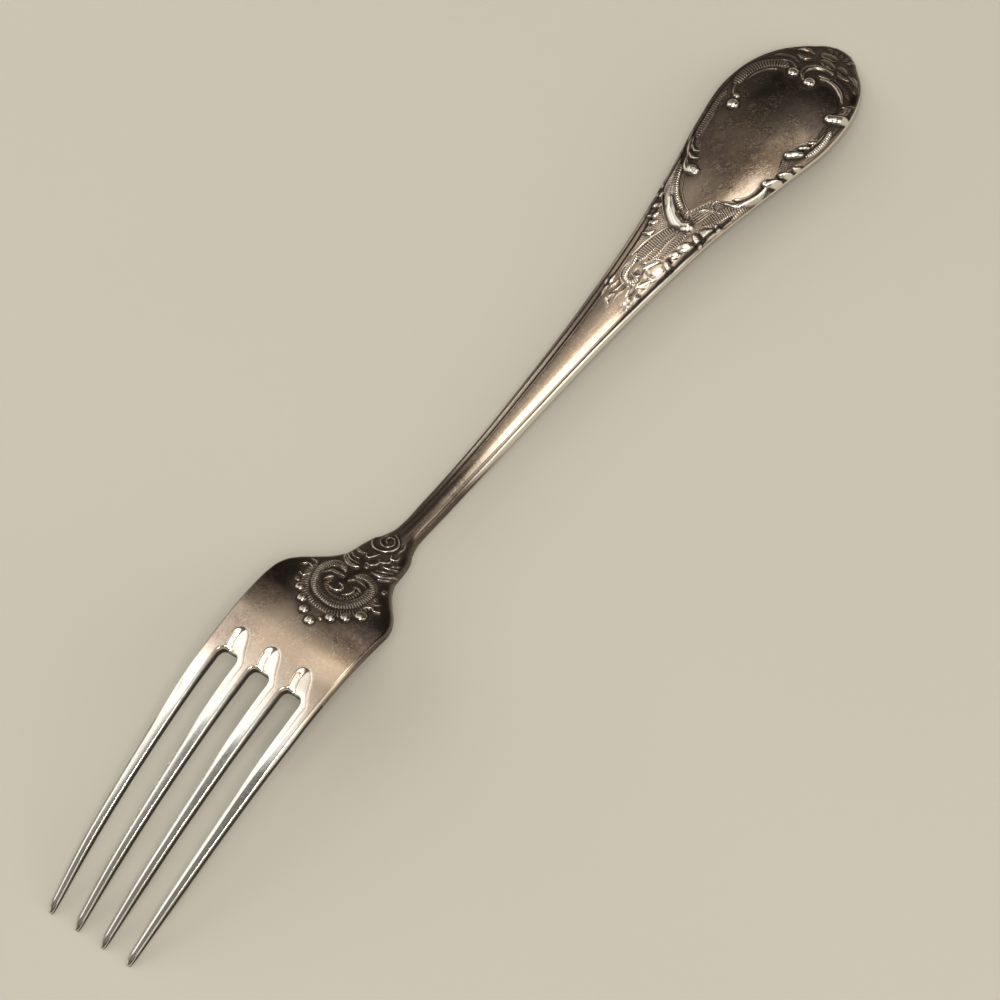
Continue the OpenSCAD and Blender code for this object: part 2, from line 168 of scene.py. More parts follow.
crown_line = line(
    run(0, SLOT_LENGTH, 0, PLATE_CROWN, (0, 0), (0.6, 0.8), (1, 1))
    + [(SHOULDER, PLATE_CROWN), (NECK, STEM_CROWN), (THROAT, STEM_CROWN * 0.8), (WIDEST, STEM_CROWN * 0.6),
       (LENGTH, STEM_CROWN * 0.35)], 1.0)
belly_line = line([(0, 1), (SHOULDER, 1), (NECK, -0.55), (THROAT, -0.1), (WIDEST, 0.7), (LENGTH, 0.7)], 1.0)
edge_line = line([(0, PLATE_EDGE), (SHOULDER, PLATE_EDGE), (NECK, STEM_EDGE), (THROAT, STEM_EDGE),
                  (WIDEST, PLATE_EDGE), (LENGTH, PLATE_EDGE)])
front_edge_line = line([(0, PLATE_EDGE * 0.3), (TINE_LENGTH, PLATE_EDGE * 0.3), (SHOULDER, PLATE_EDGE * 0.8),
                        (NECK, STEM_EDGE * 0.9), (THROAT, STEM_EDGE * 0.9), (WIDEST, PLATE_EDGE * 0.9),
                        (LENGTH, PLATE_EDGE * 0.9)])
outline = line(
    [(0, (TIP_SPREAD + TIP_W) / 2)]
    + run(0, SHOULDER, 0, HEAD_W / 2, (0.19, 0.83), (0.39, 0.892), (0.625, 0.954), (0.86, 0.988), (1, 1))
    + run(SHOULDER, NECK, NECK_W / 2, HEAD_W / 2, (0.125, 0.99), (0.21, 0.94), (0.29, 0.815), (0.375, 0.61),
          (0.47, 0.4), (0.56, 0.285), (0.67, 0.245), (0.75, 0.195), (0.83, 0.09), (0.94, 0.015), (1.08, 0),
          (1.33, 0))
    + run(NECK, THROAT, NECK_W / 2, THROAT_W / 2, (0.33, 0.08), (0.54, 0.27), (0.78, 0.57), (1, 1))
    + run(THROAT, WIDEST, THROAT_W / 2, HANDLE_W / 2, (0.35, 0.26), (0.6, 0.55), (0.79, 0.8), (1, 1))
    + [(LENGTH, HANDLE_W / 2)])


def half_w(x):
    """Half of the width: the outline, then (1 - t^2.3)^0.66 from the widest place down to the worn nose."""
    t = np.clip((np.asarray(x, float) - WIDEST) / END_LENGTH, 0, 1)
    round_end = outline(x) * (1 - t ** 2.3) ** 0.66
    return np.maximum(NOSE_W / 2, round_end) + NOSE_WORN * ease(202.6, 204.8, x)


def outline_slope(x, step=0.02):
    """Rise of half of the width per mm, from two places a small step to either side."""
    return (half_w(x + step) - half_w(x - step)) / (2 * step)


def edge_drop(d, r):
    """Fall of a quarter round of width r at distance d inside its edge: r (1 - sqrt(1 - (1 - d / r)^2))."""
    inside = np.clip(1 - d / r, 0, 1)
    return r * (1 - np.sqrt(np.maximum(1 - inside * inside, 0)))


# Tines: equal gaps, narrowing and closing in towards the tips
HALF_ROOT = float(half_w(TINE_LENGTH))
TINE_ROOT_W = (HALF_ROOT * 2 - 3 * SLOT_W) / 4
SLOT_GAP = HALF_ROOT - TINE_ROOT_W - SLOT_W / 2
SLOT_MIDDLES = (SLOT_GAP, 0, -SLOT_GAP)
ROOT_SPREAD = HALF_ROOT - TINE_ROOT_W / 2
LAST_BEND = TINE_LENGTH * 0.85
tine_w = line(run(0, POINT, 0, TIP_W, (0, 0.62), (0.3, 0.95), (1, 1.08))
              + [(TINE_LENGTH * 0.5, MID_W), (TINE_LENGTH, TINE_ROOT_W), (LENGTH, TINE_ROOT_W)])
tine_spread = line([(0, TIP_SPREAD / 2), (TINE_LENGTH * 0.33, mix(TIP_SPREAD / 2, ROOT_SPREAD, 0.5)),
                    (LAST_BEND, float(half_w(LAST_BEND) - tine_w(LAST_BEND) / 2)),
                    (TINE_LENGTH, ROOT_SPREAD), (LENGTH, ROOT_SPREAD)])
point_line = line([(0, PLATE_T * 0.25), (POINT * 0.4, PLATE_T * 0.08), (POINT, 0), (LENGTH, 0)])


def tine_edges(x, k):
    """Upper and lower edge of tine k, which run on along the slots and the outline past the root plane."""
    side = (1, 1 / 3, -1 / 3, -1)[k]
    high = side * tine_spread(x) + tine_w(x) / 2
    low = side * tine_spread(x) - tine_w(x) / 2
    past_high = half_w(x) if k == 0 else np.full_like(x, SLOT_MIDDLES[k - 1] - SLOT_W / 2)
    past_low = -half_w(x) if k == 3 else np.full_like(x, SLOT_MIDDLES[k] + SLOT_W / 2)
    return np.where(x < TINE_LENGTH, high, past_high), np.where(x < TINE_LENGTH, low, past_low)


SLOT_ROUND_START = SLOT_LENGTH - SLOT_CORNER


def slot_end(u):
    """Place of the slot end at a distance u from the slot's middle: straight, its corners quarter rounds."""
    v = np.clip(np.abs(u) - (SLOT_W / 2 - SLOT_CORNER), 0, SLOT_CORNER)
    return SLOT_ROUND_START + np.sqrt(np.maximum(SLOT_CORNER ** 2 - v * v, 0))


def from_slot(x, u):
    """Distance from a slot, u from its middle: to its sides, or sqrt(a^2 + b^2) to its corners and end."""
    side = np.abs(u) - SLOT_W / 2
    inner = SLOT_W / 2 - SLOT_CORNER
    corner = np.hypot(np.maximum(np.abs(u) - inner, 0), np.maximum(x - SLOT_ROUND_START, 0)) - SLOT_CORNER
    return np.maximum(np.where(x < SLOT_ROUND_START, side, corner), 0)


def bevel_size(x):
    """Width and fall of the worn bevel on a tine's upper edge, broadest where it runs into the scoop."""
    return mix(0.75, 1.7, ease(28, 48, x)), mix(0.3, 0.5, ease(24, 46, x))


def bevel_soft(x):
    """How far from its foot the bevel takes to bend down, in mm."""
    return mix(0.25, 0.7, ease(28, 46, x))


def bevel(x, d, limit):
    """Fall of that bevel, at most limit wide, at distance d inside the edge: grade r^2 / (r + soft).

    r is the distance from the bevel's foot.
    """
    wide, high = bevel_size(x)
    wide, soft = np.minimum(wide, limit), bevel_soft(x)
    r = np.maximum(wide - d, 0)
    return high * (wide + soft) / wide ** 2 * r * r / (r + soft)


scoop_foot = line([(0, -3.725), (SLOT_ROUND_START, -3.725), (49.5, -3.3), (50.5, -2.7), (51.5, -2.2),
                   (52.5, -1.75), (53.3, -1.3), (53.9, -0.8), (54.25, -0.3), (SCOOP_END, 0.15),
                   (LENGTH, 0.15)])
scoop_lip = line([(0, 0.6), (50, 0.6), (51.5, 0.95), (52.8, 1.15), (53.6, 0.95), (54.15, 0.55),
                  (SCOOP_END, 0.15), (LENGTH, 0.15)])


def slot_fall(x, u):
    """Fall beside a slot, u from its middle: a bevel on its lower side, small rounds on the rest.

    Past the end the bevel runs on as a scoop, with the same grade from a foot that leans up to a round lip.
    """
    wide, high = bevel_size(np.minimum(x, SLOT_ROUND_START))
    grade = mix(high * (wide + bevel_soft(x)) / wide ** 2, 0.4, ease(SLOT_ROUND_START, 50.5, x))
    foot = np.where(x < SLOT_ROUND_START, -SLOT_W / 2 - wide, scoop_foot(x))
    lip = scoop_lip(x)
    r = np.maximum(np.minimum(u, lip) - foot, 0)
    soft = mix(bevel_soft(x), 1.0, ease(SLOT_ROUND_START, 51, x))
    within = (1 - ease(-0.5, 1.0, u - lip)) * (1 - ease(SCOOP_END - 0.35, SCOOP_END, x))
    small = edge_drop(from_slot(x, u), mix(0.16, 0.4, ease(0.5, 1.9, u))) * ease(-1.9, -0.9, u)
    return grade * r * r / (r + soft) * within + small


def to_path(x, y, path):
    """Distance from points to a line of short straight runs, the nearest run and the share along it."""
    a, step = path[:-1], np.diff(path, axis=0)
    found = []
    for part in np.array_split(np.arange(len(x)), max(1, len(x) // 15000)):
        px, py = x[part, None] - a[:, 0], y[part, None] - a[:, 1]
        t = np.clip((px * step[:, 0] + py * step[:, 1]) / np.maximum((step ** 2).sum(1), 1e-12), 0, 1)
        d = np.hypot(px - t * step[:, 0], py - t * step[:, 1])
        i = d.argmin(1)
        k = np.arange(len(part))
        found.append((d[k, i], i, t[k, i]))
    return [np.concatenate(each) for each in zip(*found)]


def from_outline(x, y):
    """Distance inside the outline: (w - |y|) / sqrt(1 + w'^2), or to the nearest outline run near the end."""
    w = half_w(x)
    d = (w - np.abs(y)) / np.sqrt(1 + outline_slope(x) ** 2)
    near_end = x > TIP - 1
    if near_end.any():
        ox = mix(TIP - 5, LENGTH, 1 - (1 - np.linspace(0, 1, 300)) ** 2)
        path = np.stack([np.append(ox, LENGTH), np.append(half_w(ox), 0)], 1)
        d[near_end] = to_path(x[near_end], np.abs(y[near_end]), path)[0]
    d[:, [0, -1]] = np.where(w[:, [0, -1]] - np.abs(y[:, [0, -1]]) < 1e-9, 0, d[:, [0, -1]])
    return np.maximum(d, 0)


def smooth_path(points, step=0.1):
    """Points a step apart on the curve through x, y, x, y ... (Catmull-Rom), with their arc length."""
    p = np.array(points, float).reshape(-1, 2)
    if len(p) > 2:
        q = np.vstack([2 * p[0] - p[1], p, 2 * p[-1] - p[-2]])
        t = np.linspace(0, 1, 12, endpoint=False)[:, None]
        bends = [2 * b + (c - a) * t + (2 * a - 5 * b + 4 * c - d) * t ** 2 + (3 * b - a - 3 * c + d) * t ** 3
                 for a, b, c, d in zip(q, q[1:], q[2:], q[3:])]
        p = np.vstack([0.5 * bend for bend in bends] + [p[-1:]])
    s = np.concatenate([[0], np.cumsum(np.hypot(*np.diff(p, axis=0).T))])
    at = np.linspace(0, s[-1], max(2, int(s[-1] / step) + 1))
    return np.stack([np.interp(at, s, p[:, 0]), np.interp(at, s, p[:, 1])], 1), at


class Relief:
    """Height of the struck ornament over the ground on a grid of plan points.

    Strokes that cross don't add up: the taller one shows. Their points are lists of x, y, x, y ...
    """

    def __init__(self, x, y):
        self.x, self.y, self.rows = x, y, x[:, 0]
        self.high, self.cut, self.lines = np.zeros((3,) + x.shape)

    def near(self, path, reach):
        """Rows, mask and places of the grid points in the box round a path, widened by reach."""
        i0, i1 = np.searchsorted(self.rows, [path[:, 0].min() - reach, path[:, 0].max() + reach])
        x, y = self.x[i0:i1], self.y[i0:i1]
        mask = (y > path[:, 1].min() - reach) & (y < path[:, 1].max() + reach)
        return slice(i0, i1), mask, x[mask], y[mask]

    def along(self, points, reach):
        """Rows and mask of points within reach, their distance to the path, its length there and in all."""
        path, at = smooth_path(points)
        rows, mask, x, y = self.near(path, reach)
        if not len(x):
            return rows, mask, x, x, 1.0
        d, i, t = to_path(x, y, path)
        return rows, mask, d, at[i] + t * (at[i + 1] - at[i]), at[-1]

    def keep_taller(self, sheet, rows, mask, value):
        """The larger of what a sheet holds and the value, written to the sheet."""
        part = sheet[rows]
        part[mask] = np.maximum(part[mask], value)

    def scroll(self, w, h, points, thin=(0.35, 0.35)):
        """Ridge h (1 - (2d / w)^2)^0.9, no higher than 0.8 of its width, thinner over a third at each end."""
        rows, mask, d, s, total = self.along(points, w)
        third = total * 0.35
        taper = mix(thin[0], 1, ease(0, third, s)) * mix(thin[1], 1, ease(0, third, total - s))
        ridge = np.clip(1 - (2 * d / (w * taper)) ** 2, 0, 1) ** 0.9
        self.keep_taller(self.high, rows, mask, min(h, 0.8 * w) * (0.45 + 0.55 * taper) * ridge)

    def milled(self, w, h, points, pitch=0.46, deep=0.75):
        """Low ridge with flutes across it: its height times 1 - deep (1 - |sin(pi s / pitch)|^0.7)."""
        rows, mask, d, s, total = self.along(points, w)
        taper = np.sqrt(np.clip(np.minimum(s, total - s) / (w * 0.7) + 0.12, 0, 1))
        cross = np.clip(1 - (2 * d / (w * taper)) ** 2, 0, 1) ** 0.4
        between = 1 - np.abs(np.sin(pi * s / pitch)) ** 0.7
        self.keep_taller(self.high, rows, mask, h * cross * (1 - deep * between))
        self.keep_taller(self.lines, rows, mask, cross * deep * between)

    def leaf(self, w, h, points, vein=0.3):
        """Drop shape w sin(pi t)^0.8 wide, broadest before its middle, with a vein pressed along it."""
        rows, mask, d, s, total = self.along(points, w)
        t = np.clip(s / total, 0, 1)
        wide = w * np.clip(np.sin(pi * np.clip(t * 0.86 + 0.1, 0, 1)), 0.12, 1) ** 0.8
        value = h * np.clip(1 - (2 * d / wide) ** 2, 0, 1) ** 0.9 * (1 - vein * bell(d, 0.13 * w))
        self.keep_taller(self.high, rows, mask, value * (1 - 0.35 * t))

    def dome(self, x, y, r, h, squash=1.0, turn=0.0):
        """Cap of radius r, h (1 - q^3)^0.7 high, narrowed by squash across the turned direction."""
        rows, mask, px, py = self.near(np.array([(x, y)]), r)
        a, b = px - x, py - y
        u, v = a * np.cos(turn) + b * np.sin(turn), b * np.cos(turn) - a * np.sin(turn)
        cap = np.clip(1 - ((u * u + (v / squash) ** 2) / r ** 2) ** 1.5, 0, 1) ** 0.7
        self.keep_taller(self.high, rows, mask, h * cap)

    def groove(self, w, h, points):
        """Rounded cut, h exp(-(2.2 d / w)^2) deep, that fades over its last tenths."""
        rows, mask, d, s, total = self.along(points, w * 1.5)
        last = total * 0.15 + 1e-6
        fade = ease(0, last, s) * ease(0, last, total - s)
        self.keep_taller(self.cut, rows, mask, h * fade * np.exp(-(2.2 * d / w) ** 2))

    def pebbles(self, h, size, inside):
        """Ground of small round grains: |sin(pi u / size) sin(pi v / size)|^0.6 on two slanted axes."""
        u, v = self.x + 0.35 * self.y, self.y - 0.3 * self.x
        grain = np.abs(np.sin(pi * u / size) * np.sin(pi * v / size)) ** 0.6
        self.high = np.maximum(self.high, h * grain * inside)


def heel_ornament(r):
    """Milled C scroll with curls in it and beads round it, then leaves up to a snail scroll at the neck."""
    # outer milled border, the C with its milled inside, and the second milled ring
    r.milled(1.7, 0.24, [71.4, 6.4, 69.6, 6.2, 67.6, 5.4, 65.9, 3.8, 65.1, 1.6, 64.9, -0.6, 65.3, -2.6,
        66.5, -4.4, 68.2, -5.7, 70.2, -6.0, 72.0, -5.8], pitch=0.5, deep=0.7)
    r.milled(1.3, 0.26, [71.6, 5.0, 69.8, 4.6, 68.3, 3.6, 67.4, 2.2, 67.1, 0.4, 67.3, -1.4, 68.2, -2.9,
        69.6, -3.9, 71.4, -4.2, 73.0, -3.6], pitch=0.5, deep=0.6)
    r.milled(0.9, 0.2, [70.9, 2.4, 69.4, 2.3, 68.5, 1.3, 68.2, -0.2, 68.6, -1.7, 69.8, -2.7, 71.4, -2.9],
        pitch=0.5, deep=0.6)
    r.milled(1.35, 0.34, [73.4, 1.9, 74.1, 3.3, 73.5, 4.7, 71.6, 5.4, 69.6, 4.9, 67.9, 3.8, 66.8, 2.1,
        66.4, 0.0, 66.6, -1.8, 67.5, -3.3, 69.0, -4.4, 71.0, -4.9, 72.9, -4.4, 74.2, -3.1, 74.4, -1.4,
        73.6, -0.2], pitch=0.44, deep=0.5)
    r.scroll(0.34, 0.46, [73.6, 3.6, 72.6, 4.4, 71.2, 4.6, 69.6, 4.2, 68.2, 3.2, 67.3, 1.8, 67.0, 0.0,
        67.2, -1.6, 68.0, -2.9, 69.4, -3.8, 71.1, -4.2, 72.7, -3.8])
    # curls inside the ring
    r.leaf(0.95, 0.5, [72.3, 1.3, 72.1, 2.7, 71.9, 3.8, 71.0, 4.3])
    r.scroll(0.35, 0.34, [73.2, 1.9, 73.4, 3.2, 72.8, 4.3, 71.6, 4.8])
    r.leaf(0.75, 0.42, [71.1, 2.5, 70.6, 3.1, 69.8, 3.3], vein=0.1)
    r.leaf(0.8, 0.45, [72.8, -2.9, 73.1, -1.5, 72.8, -0.4, 72.0, 0.1])
    r.scroll(0.35, 0.34, [74.0, -2.4, 74.0, -1.2, 73.2, -0.3])
    r.leaf(0.6, 0.4, [71.3, -3.3, 71.7, -2.3, 71.5, -1.5], vein=0.1)
    r.scroll(0.6, 0.42, [69.1, 1.7, 68.9, 0.6, 69.5, -0.3, 70.4, -0.1, 70.6, 0.6], thin=(0.5, 0.9))
    r.scroll(0.5, 0.36, [69.0, -1.2, 69.7, -1.9, 70.8, -2.1, 71.6, -1.7])
    # beads, each a low button with a thin rim
    for x, y, size in ((61.6, -0.5, 0.95), (62.8, 1.7, 0.9), (64.4, 3.4, 0.95), (66.0, 5.2, 0.95),
                       (64.1, -2.9, 0.95), (65.7, -4.8, 0.95), (67.6, -6.5, 1.1), (63.0, -1.7, 0.45),
                       (67.0, 6.6, 0.55), (74.1, -5.7, 0.5), (76.4, 0.05, 0.42)):
        r.dome(x, y, size, 0.45 * size)
        r.groove(0.35, 0.03,
            [(x + size * 1.1 * np.cos(a), y + size * 1.1 * np.sin(a)) for a in np.linspace(0, 2 * pi, 9)])
    r.scroll(0.5, 0.42, [70.1, 8.3, 70.7, 7.3, 70.2, 6.2, 69.0, 5.9, 68.1, 6.5, 68.3, 7.3], thin=(0.7, 0.7))
    r.scroll(0.35, 0.32, [71.9, 8.0, 71.9, 7.0, 71.3, 6.2])
    r.scroll(0.55, 0.45, [70.1, -8.2, 69.7, -7.4, 70.0, -6.7, 69.3, -5.9, 68.6, -5.8], thin=(0.7, 0.5))
    r.scroll(0.35, 0.3, [71.6, -7.3, 70.9, -6.6, 71.2, -5.9])
    # leaves towards the neck
    r.leaf(1.15, 0.55, [75.4, 0.9, 75.0, 2.3, 75.5, 3.7, 76.3, 4.8])
    r.scroll(0.4, 0.36, [76.2, 1.6, 76.0, 2.9, 76.5, 4.2, 77.2, 4.9])
    r.scroll(0.35, 0.3, [77.1, 2.2, 76.9, 3.2, 77.5, 4.4])
    r.leaf(0.7, 0.42, [78.4, 2.3, 78.3, 3.2, 78.7, 4.2])
    r.scroll(0.5, 0.42, [76.9, 0.6, 77.0, -0.3, 77.7, -0.9, 78.5, -0.9, 78.9, -0.3], thin=(0.8, 0.4))
    r.scroll(0.5, 0.45, [78.6, 2.1, 78.0, 1.2, 78.8, 0.6, 79.9, 0.1], thin=(0.8, 0.4))
    r.scroll(0.5, 0.42, [78.4, -0.9, 78.9, -1.8, 79.6, -2.2, 80.2, -1.9], thin=(0.8, 0.4))
    r.leaf(0.95, 0.52, [75.8, -1.6, 76.3, -2.9, 77.3, -4.2, 78.1, -4.9])
    r.leaf(0.6, 0.42, [75.4, -3.2, 76.2, -4.1, 77.0, -4.8], vein=0.1)
    r.scroll(0.35, 0.34, [76.9, -1.7, 77.4, -2.9, 78.3, -4.0])
    r.leaf(0.6, 0.42, [78.0, -2.0, 78.5, -3.1, 79.2, -4.1], vein=0.1)
    r.scroll(0.3, 0.3, [79.0, -2.8, 79.6, -3.5, 80.3, -3.9])
    # snail scroll
    r.scroll(0.6, 0.52, [82.6, 3.5, 81.2, 3.1, 80.3, 1.9, 80.4, 0.4, 81.2, -0.7, 82.6, -1.2, 83.9, -0.5,
        84.5, 0.8], thin=(0.5, 0.5))
    r.scroll(0.42, 0.5, [84.0, 1.9, 83.1, 2.4, 82.0, 2.0, 81.5, 0.9, 82.0, -0.1, 83.0, -0.3, 83.7, 0.4,
        83.5, 1.3, 82.8, 1.4, 82.4, 0.8], thin=(0.5, 0.8))
    r.scroll(0.5, 0.42, [80.9, -1.4, 80.2, -1.9, 80.6, -2.7, 81.5, -2.7], thin=(0.8, 0.4))
    r.scroll(0.35, 0.34, [82.0, -1.9, 83.3, -2.0, 84.6, -1.4])
    r.scroll(0.3, 0.3, [81.7, 4.0, 83.1, 3.6, 84.4, 2.6])


def throat_ornament(r):
    """Leaf spray, first C with its shell, smooth band over feathered grounds, foot of the main scrolls."""
    # spray that opens out of the bare stem
    for points in ([142.6, 0.3, 141.6, 0.9, 140.6, 0.5, 140.1, -0.2],
                   [143.6, -2.0, 142.6, -2.3, 141.6, -1.9], [144.3, -2.9, 143.3, -3.2, 142.5, -2.9],
                   [143.2, 2.3, 142.2, 2.6, 141.5, 2.1], [145.3, 2.4, 144.1, 2.7, 143.3, 3.3]):
        r.leaf(0.85, 0.42, points, vein=0.15)
    for points in ([141.0, -0.4, 142.6, -0.3, 144.4, -0.7], [142.4, 1.0, 143.6, 0.5, 145.0, 0.3],
                   [142.9, -1.9, 143.8, -1.4, 145.2, -1.2], [143.2, 1.9, 144.3, 1.4, 145.2, 1.4]):
        r.scroll(0.42, 0.36, points)
    for x, y, size in ((141.9, -3.0, 0.5), (144.0, -3.5, 0.5), (140.9, 0.8, 0.45), (144.0, 3.1, 0.42)):
        r.dome(x, y, size, 0.4)
    # the C: milled band round a dark eye
    r.milled(1.05, 0.42, [147.0, -1.3, 146.0, -0.8, 145.7, 0.2, 146.3, 1.1, 147.6, 1.5, 149.2, 1.6,
        150.7, 2.0], pitch=0.42, deep=0.5)
    r.scroll(0.4, 0.46, [147.8, -1.7, 146.5, -1.9, 145.3, -1.0, 145.0, 0.3, 145.7, 1.6, 147.3, 2.2,
        149.0, 2.1, 150.6, 2.6])
    r.scroll(0.5, 0.46, [147.2, 0.4, 146.9, -0.4, 147.5, -1.1, 148.3, -0.9], thin=(0.8, 0.5))
    r.groove(0.9, 0.25, [147.9, 0.3, 148.0, -0.5, 147.8, -1.3])
    # shell: a low swelling with lobes on it
    r.scroll(2.6, 0.2, [145.6, -2.4, 149.6, -2.5, 153.6, -3.1, 157.6, -4.0, 161.8, -5.3], thin=(0.6, 0.6))
    r.dome(149.7, -2.75, 2.5, 0.42, 0.62, -0.2)
    r.leaf(1.7, 0.46, [148.9, -0.9, 150.0, -1.3, 151.6, -2.2], vein=0.0)
    r.leaf(1.6, 0.46, [145.4, -2.1, 146.6, -2.7, 147.9, -3.2], vein=0.0)
    r.scroll(0.5, 0.5, [149.5, 0.6, 149.8, -0.3, 150.8, -0.9, 151.7, -1.5, 152.1, -2.4], thin=(0.8, 0.4))
    r.groove(0.5, 0.14, [149.0, -1.4, 148.5, -2.4, 148.7, -3.6])
    # grounds with feather lines, and the smooth lines over them
    r.milled(1.9, 0.28, [149.8, 1.1, 151.8, 1.1, 154.0, 0.7, 156.0, 0.2, 157.9, -0.5], pitch=0.44)
    r.milled(1.2, 0.24, [151.0, -0.4, 153.2, -0.6, 155.6, -0.7, 157.8, -1.1], pitch=0.44)
    r.milled(1.2, 0.24, [152.6, -2.2, 154.4, -2.2, 156.2, -2.3, 158.2, -2.6], pitch=0.44)
    r.scroll(0.6, 0.55, [150.0, 2.5, 151.4, 2.4, 153.3, 2.2, 155.5, 1.5, 157.6, 0.7], thin=(0.6, 0.6))
    r.scroll(0.35, 0.4, [152.2, -1.6, 153.6, -1.2, 155.3, -1.2, 158.0, -1.7])
    # lobes of the near side
    r.dome(151.7, -3.8, 1.25, 0.6, 0.5, 0.9)
    r.groove(0.45, 0.22, [152.9, -2.6, 152.8, -3.4, 152.6, -4.1])
    r.dome(154.1, -3.5, 1.3, 0.44, 0.65, -0.5)
    r.dome(156.3, -4.0, 1.6, 0.5, 0.62, -0.6)
    r.dome(158.4, -4.9, 1.5, 0.64, 0.45, 1.05)
    r.groove(0.4, 0.2, [159.7, -3.8, 159.6, -4.6, 159.1, -5.5])
    r.dome(160.6, -5.5, 1.6, 0.48, 0.65, -0.7)
    r.dome(162.3, -6.3, 1.1, 0.46, 0.5, 1.0)
    r.scroll(0.45, 0.42, [152.8, -4.6, 155.0, -5.0, 157.5, -5.6])
    r.scroll(0.45, 0.42, [159.4, -6.1, 161.6, -6.6, 163.6, -7.2])
    # sprig of the far side
    for points in ([154.4, 3.6, 155.0, 2.8, 155.9, 2.2], [156.5, 4.2, 157.0, 3.5, 157.8, 2.9],
                   [157.5, 4.9, 158.3, 4.2, 159.2, 3.8], [159.3, 5.7, 160.0, 5.1, 160.9, 4.6],
                   [161.3, 6.5, 161.9, 5.9, 162.7, 5.6], [163.2, 7.1, 163.7, 6.6, 164.3, 6.4]):
        r.leaf(1.2, 0.52, points, vein=0.0)
    r.scroll(0.4, 0.46, [164.6, 7.2, 162.6, 5.9, 160.7, 4.4, 159.2, 2.8, 158.3, 1.4])
    # foot of the main scroll, its dark eye and the toothed band
    r.milled(2.0, 0.52, [170.0, 8.1, 167.9, 7.5, 165.6, 6.5, 163.4, 5.0, 161.5, 3.3, 160.2, 1.9],
        pitch=0.34, deep=0.3)
    r.scroll(2.7, 0.72, [162.4, 3.9, 160.6, 2.2, 159.5, 0.5, 159.1, -0.8, 159.6, -1.9], thin=(0.7, 0.95))
    r.groove(1.0, 0.3, [160.9, 1.2, 160.6, -0.2, 160.9, -1.6])
    r.milled(1.15, 0.46, [168.6, 6.6, 166.9, 5.9, 165.1, 4.9, 163.4, 3.4, 162.3, 1.9, 161.7, 0.7],
        pitch=0.46, deep=0.7)
    r.scroll(0.36, 0.55, [168.3, 5.3, 166.6, 4.4, 164.7, 3.2, 163.3, 1.8, 162.4, 0.5, 161.9, -0.4,
        161.2, 0.2, 161.0, 1.2], thin=(0.6, 0.8))
    # fan of ribs under the shield's point
    for k in range(5):
        r.scroll(0.36, 0.36, [160.7 - 0.2 * k, -1.0 - 0.42 * k, 162.3 - 0.15 * k, -1.5 - 0.42 * k,
            163.6, -2.3 - 0.33 * k, 164.5, -3.3 - 0.22 * k])
    r.milled(2.0, 0.24, [161.4, -4.0, 163.6, -4.8, 165.6, -5.6, 167.4, -6.6], pitch=0.42, deep=0.6)


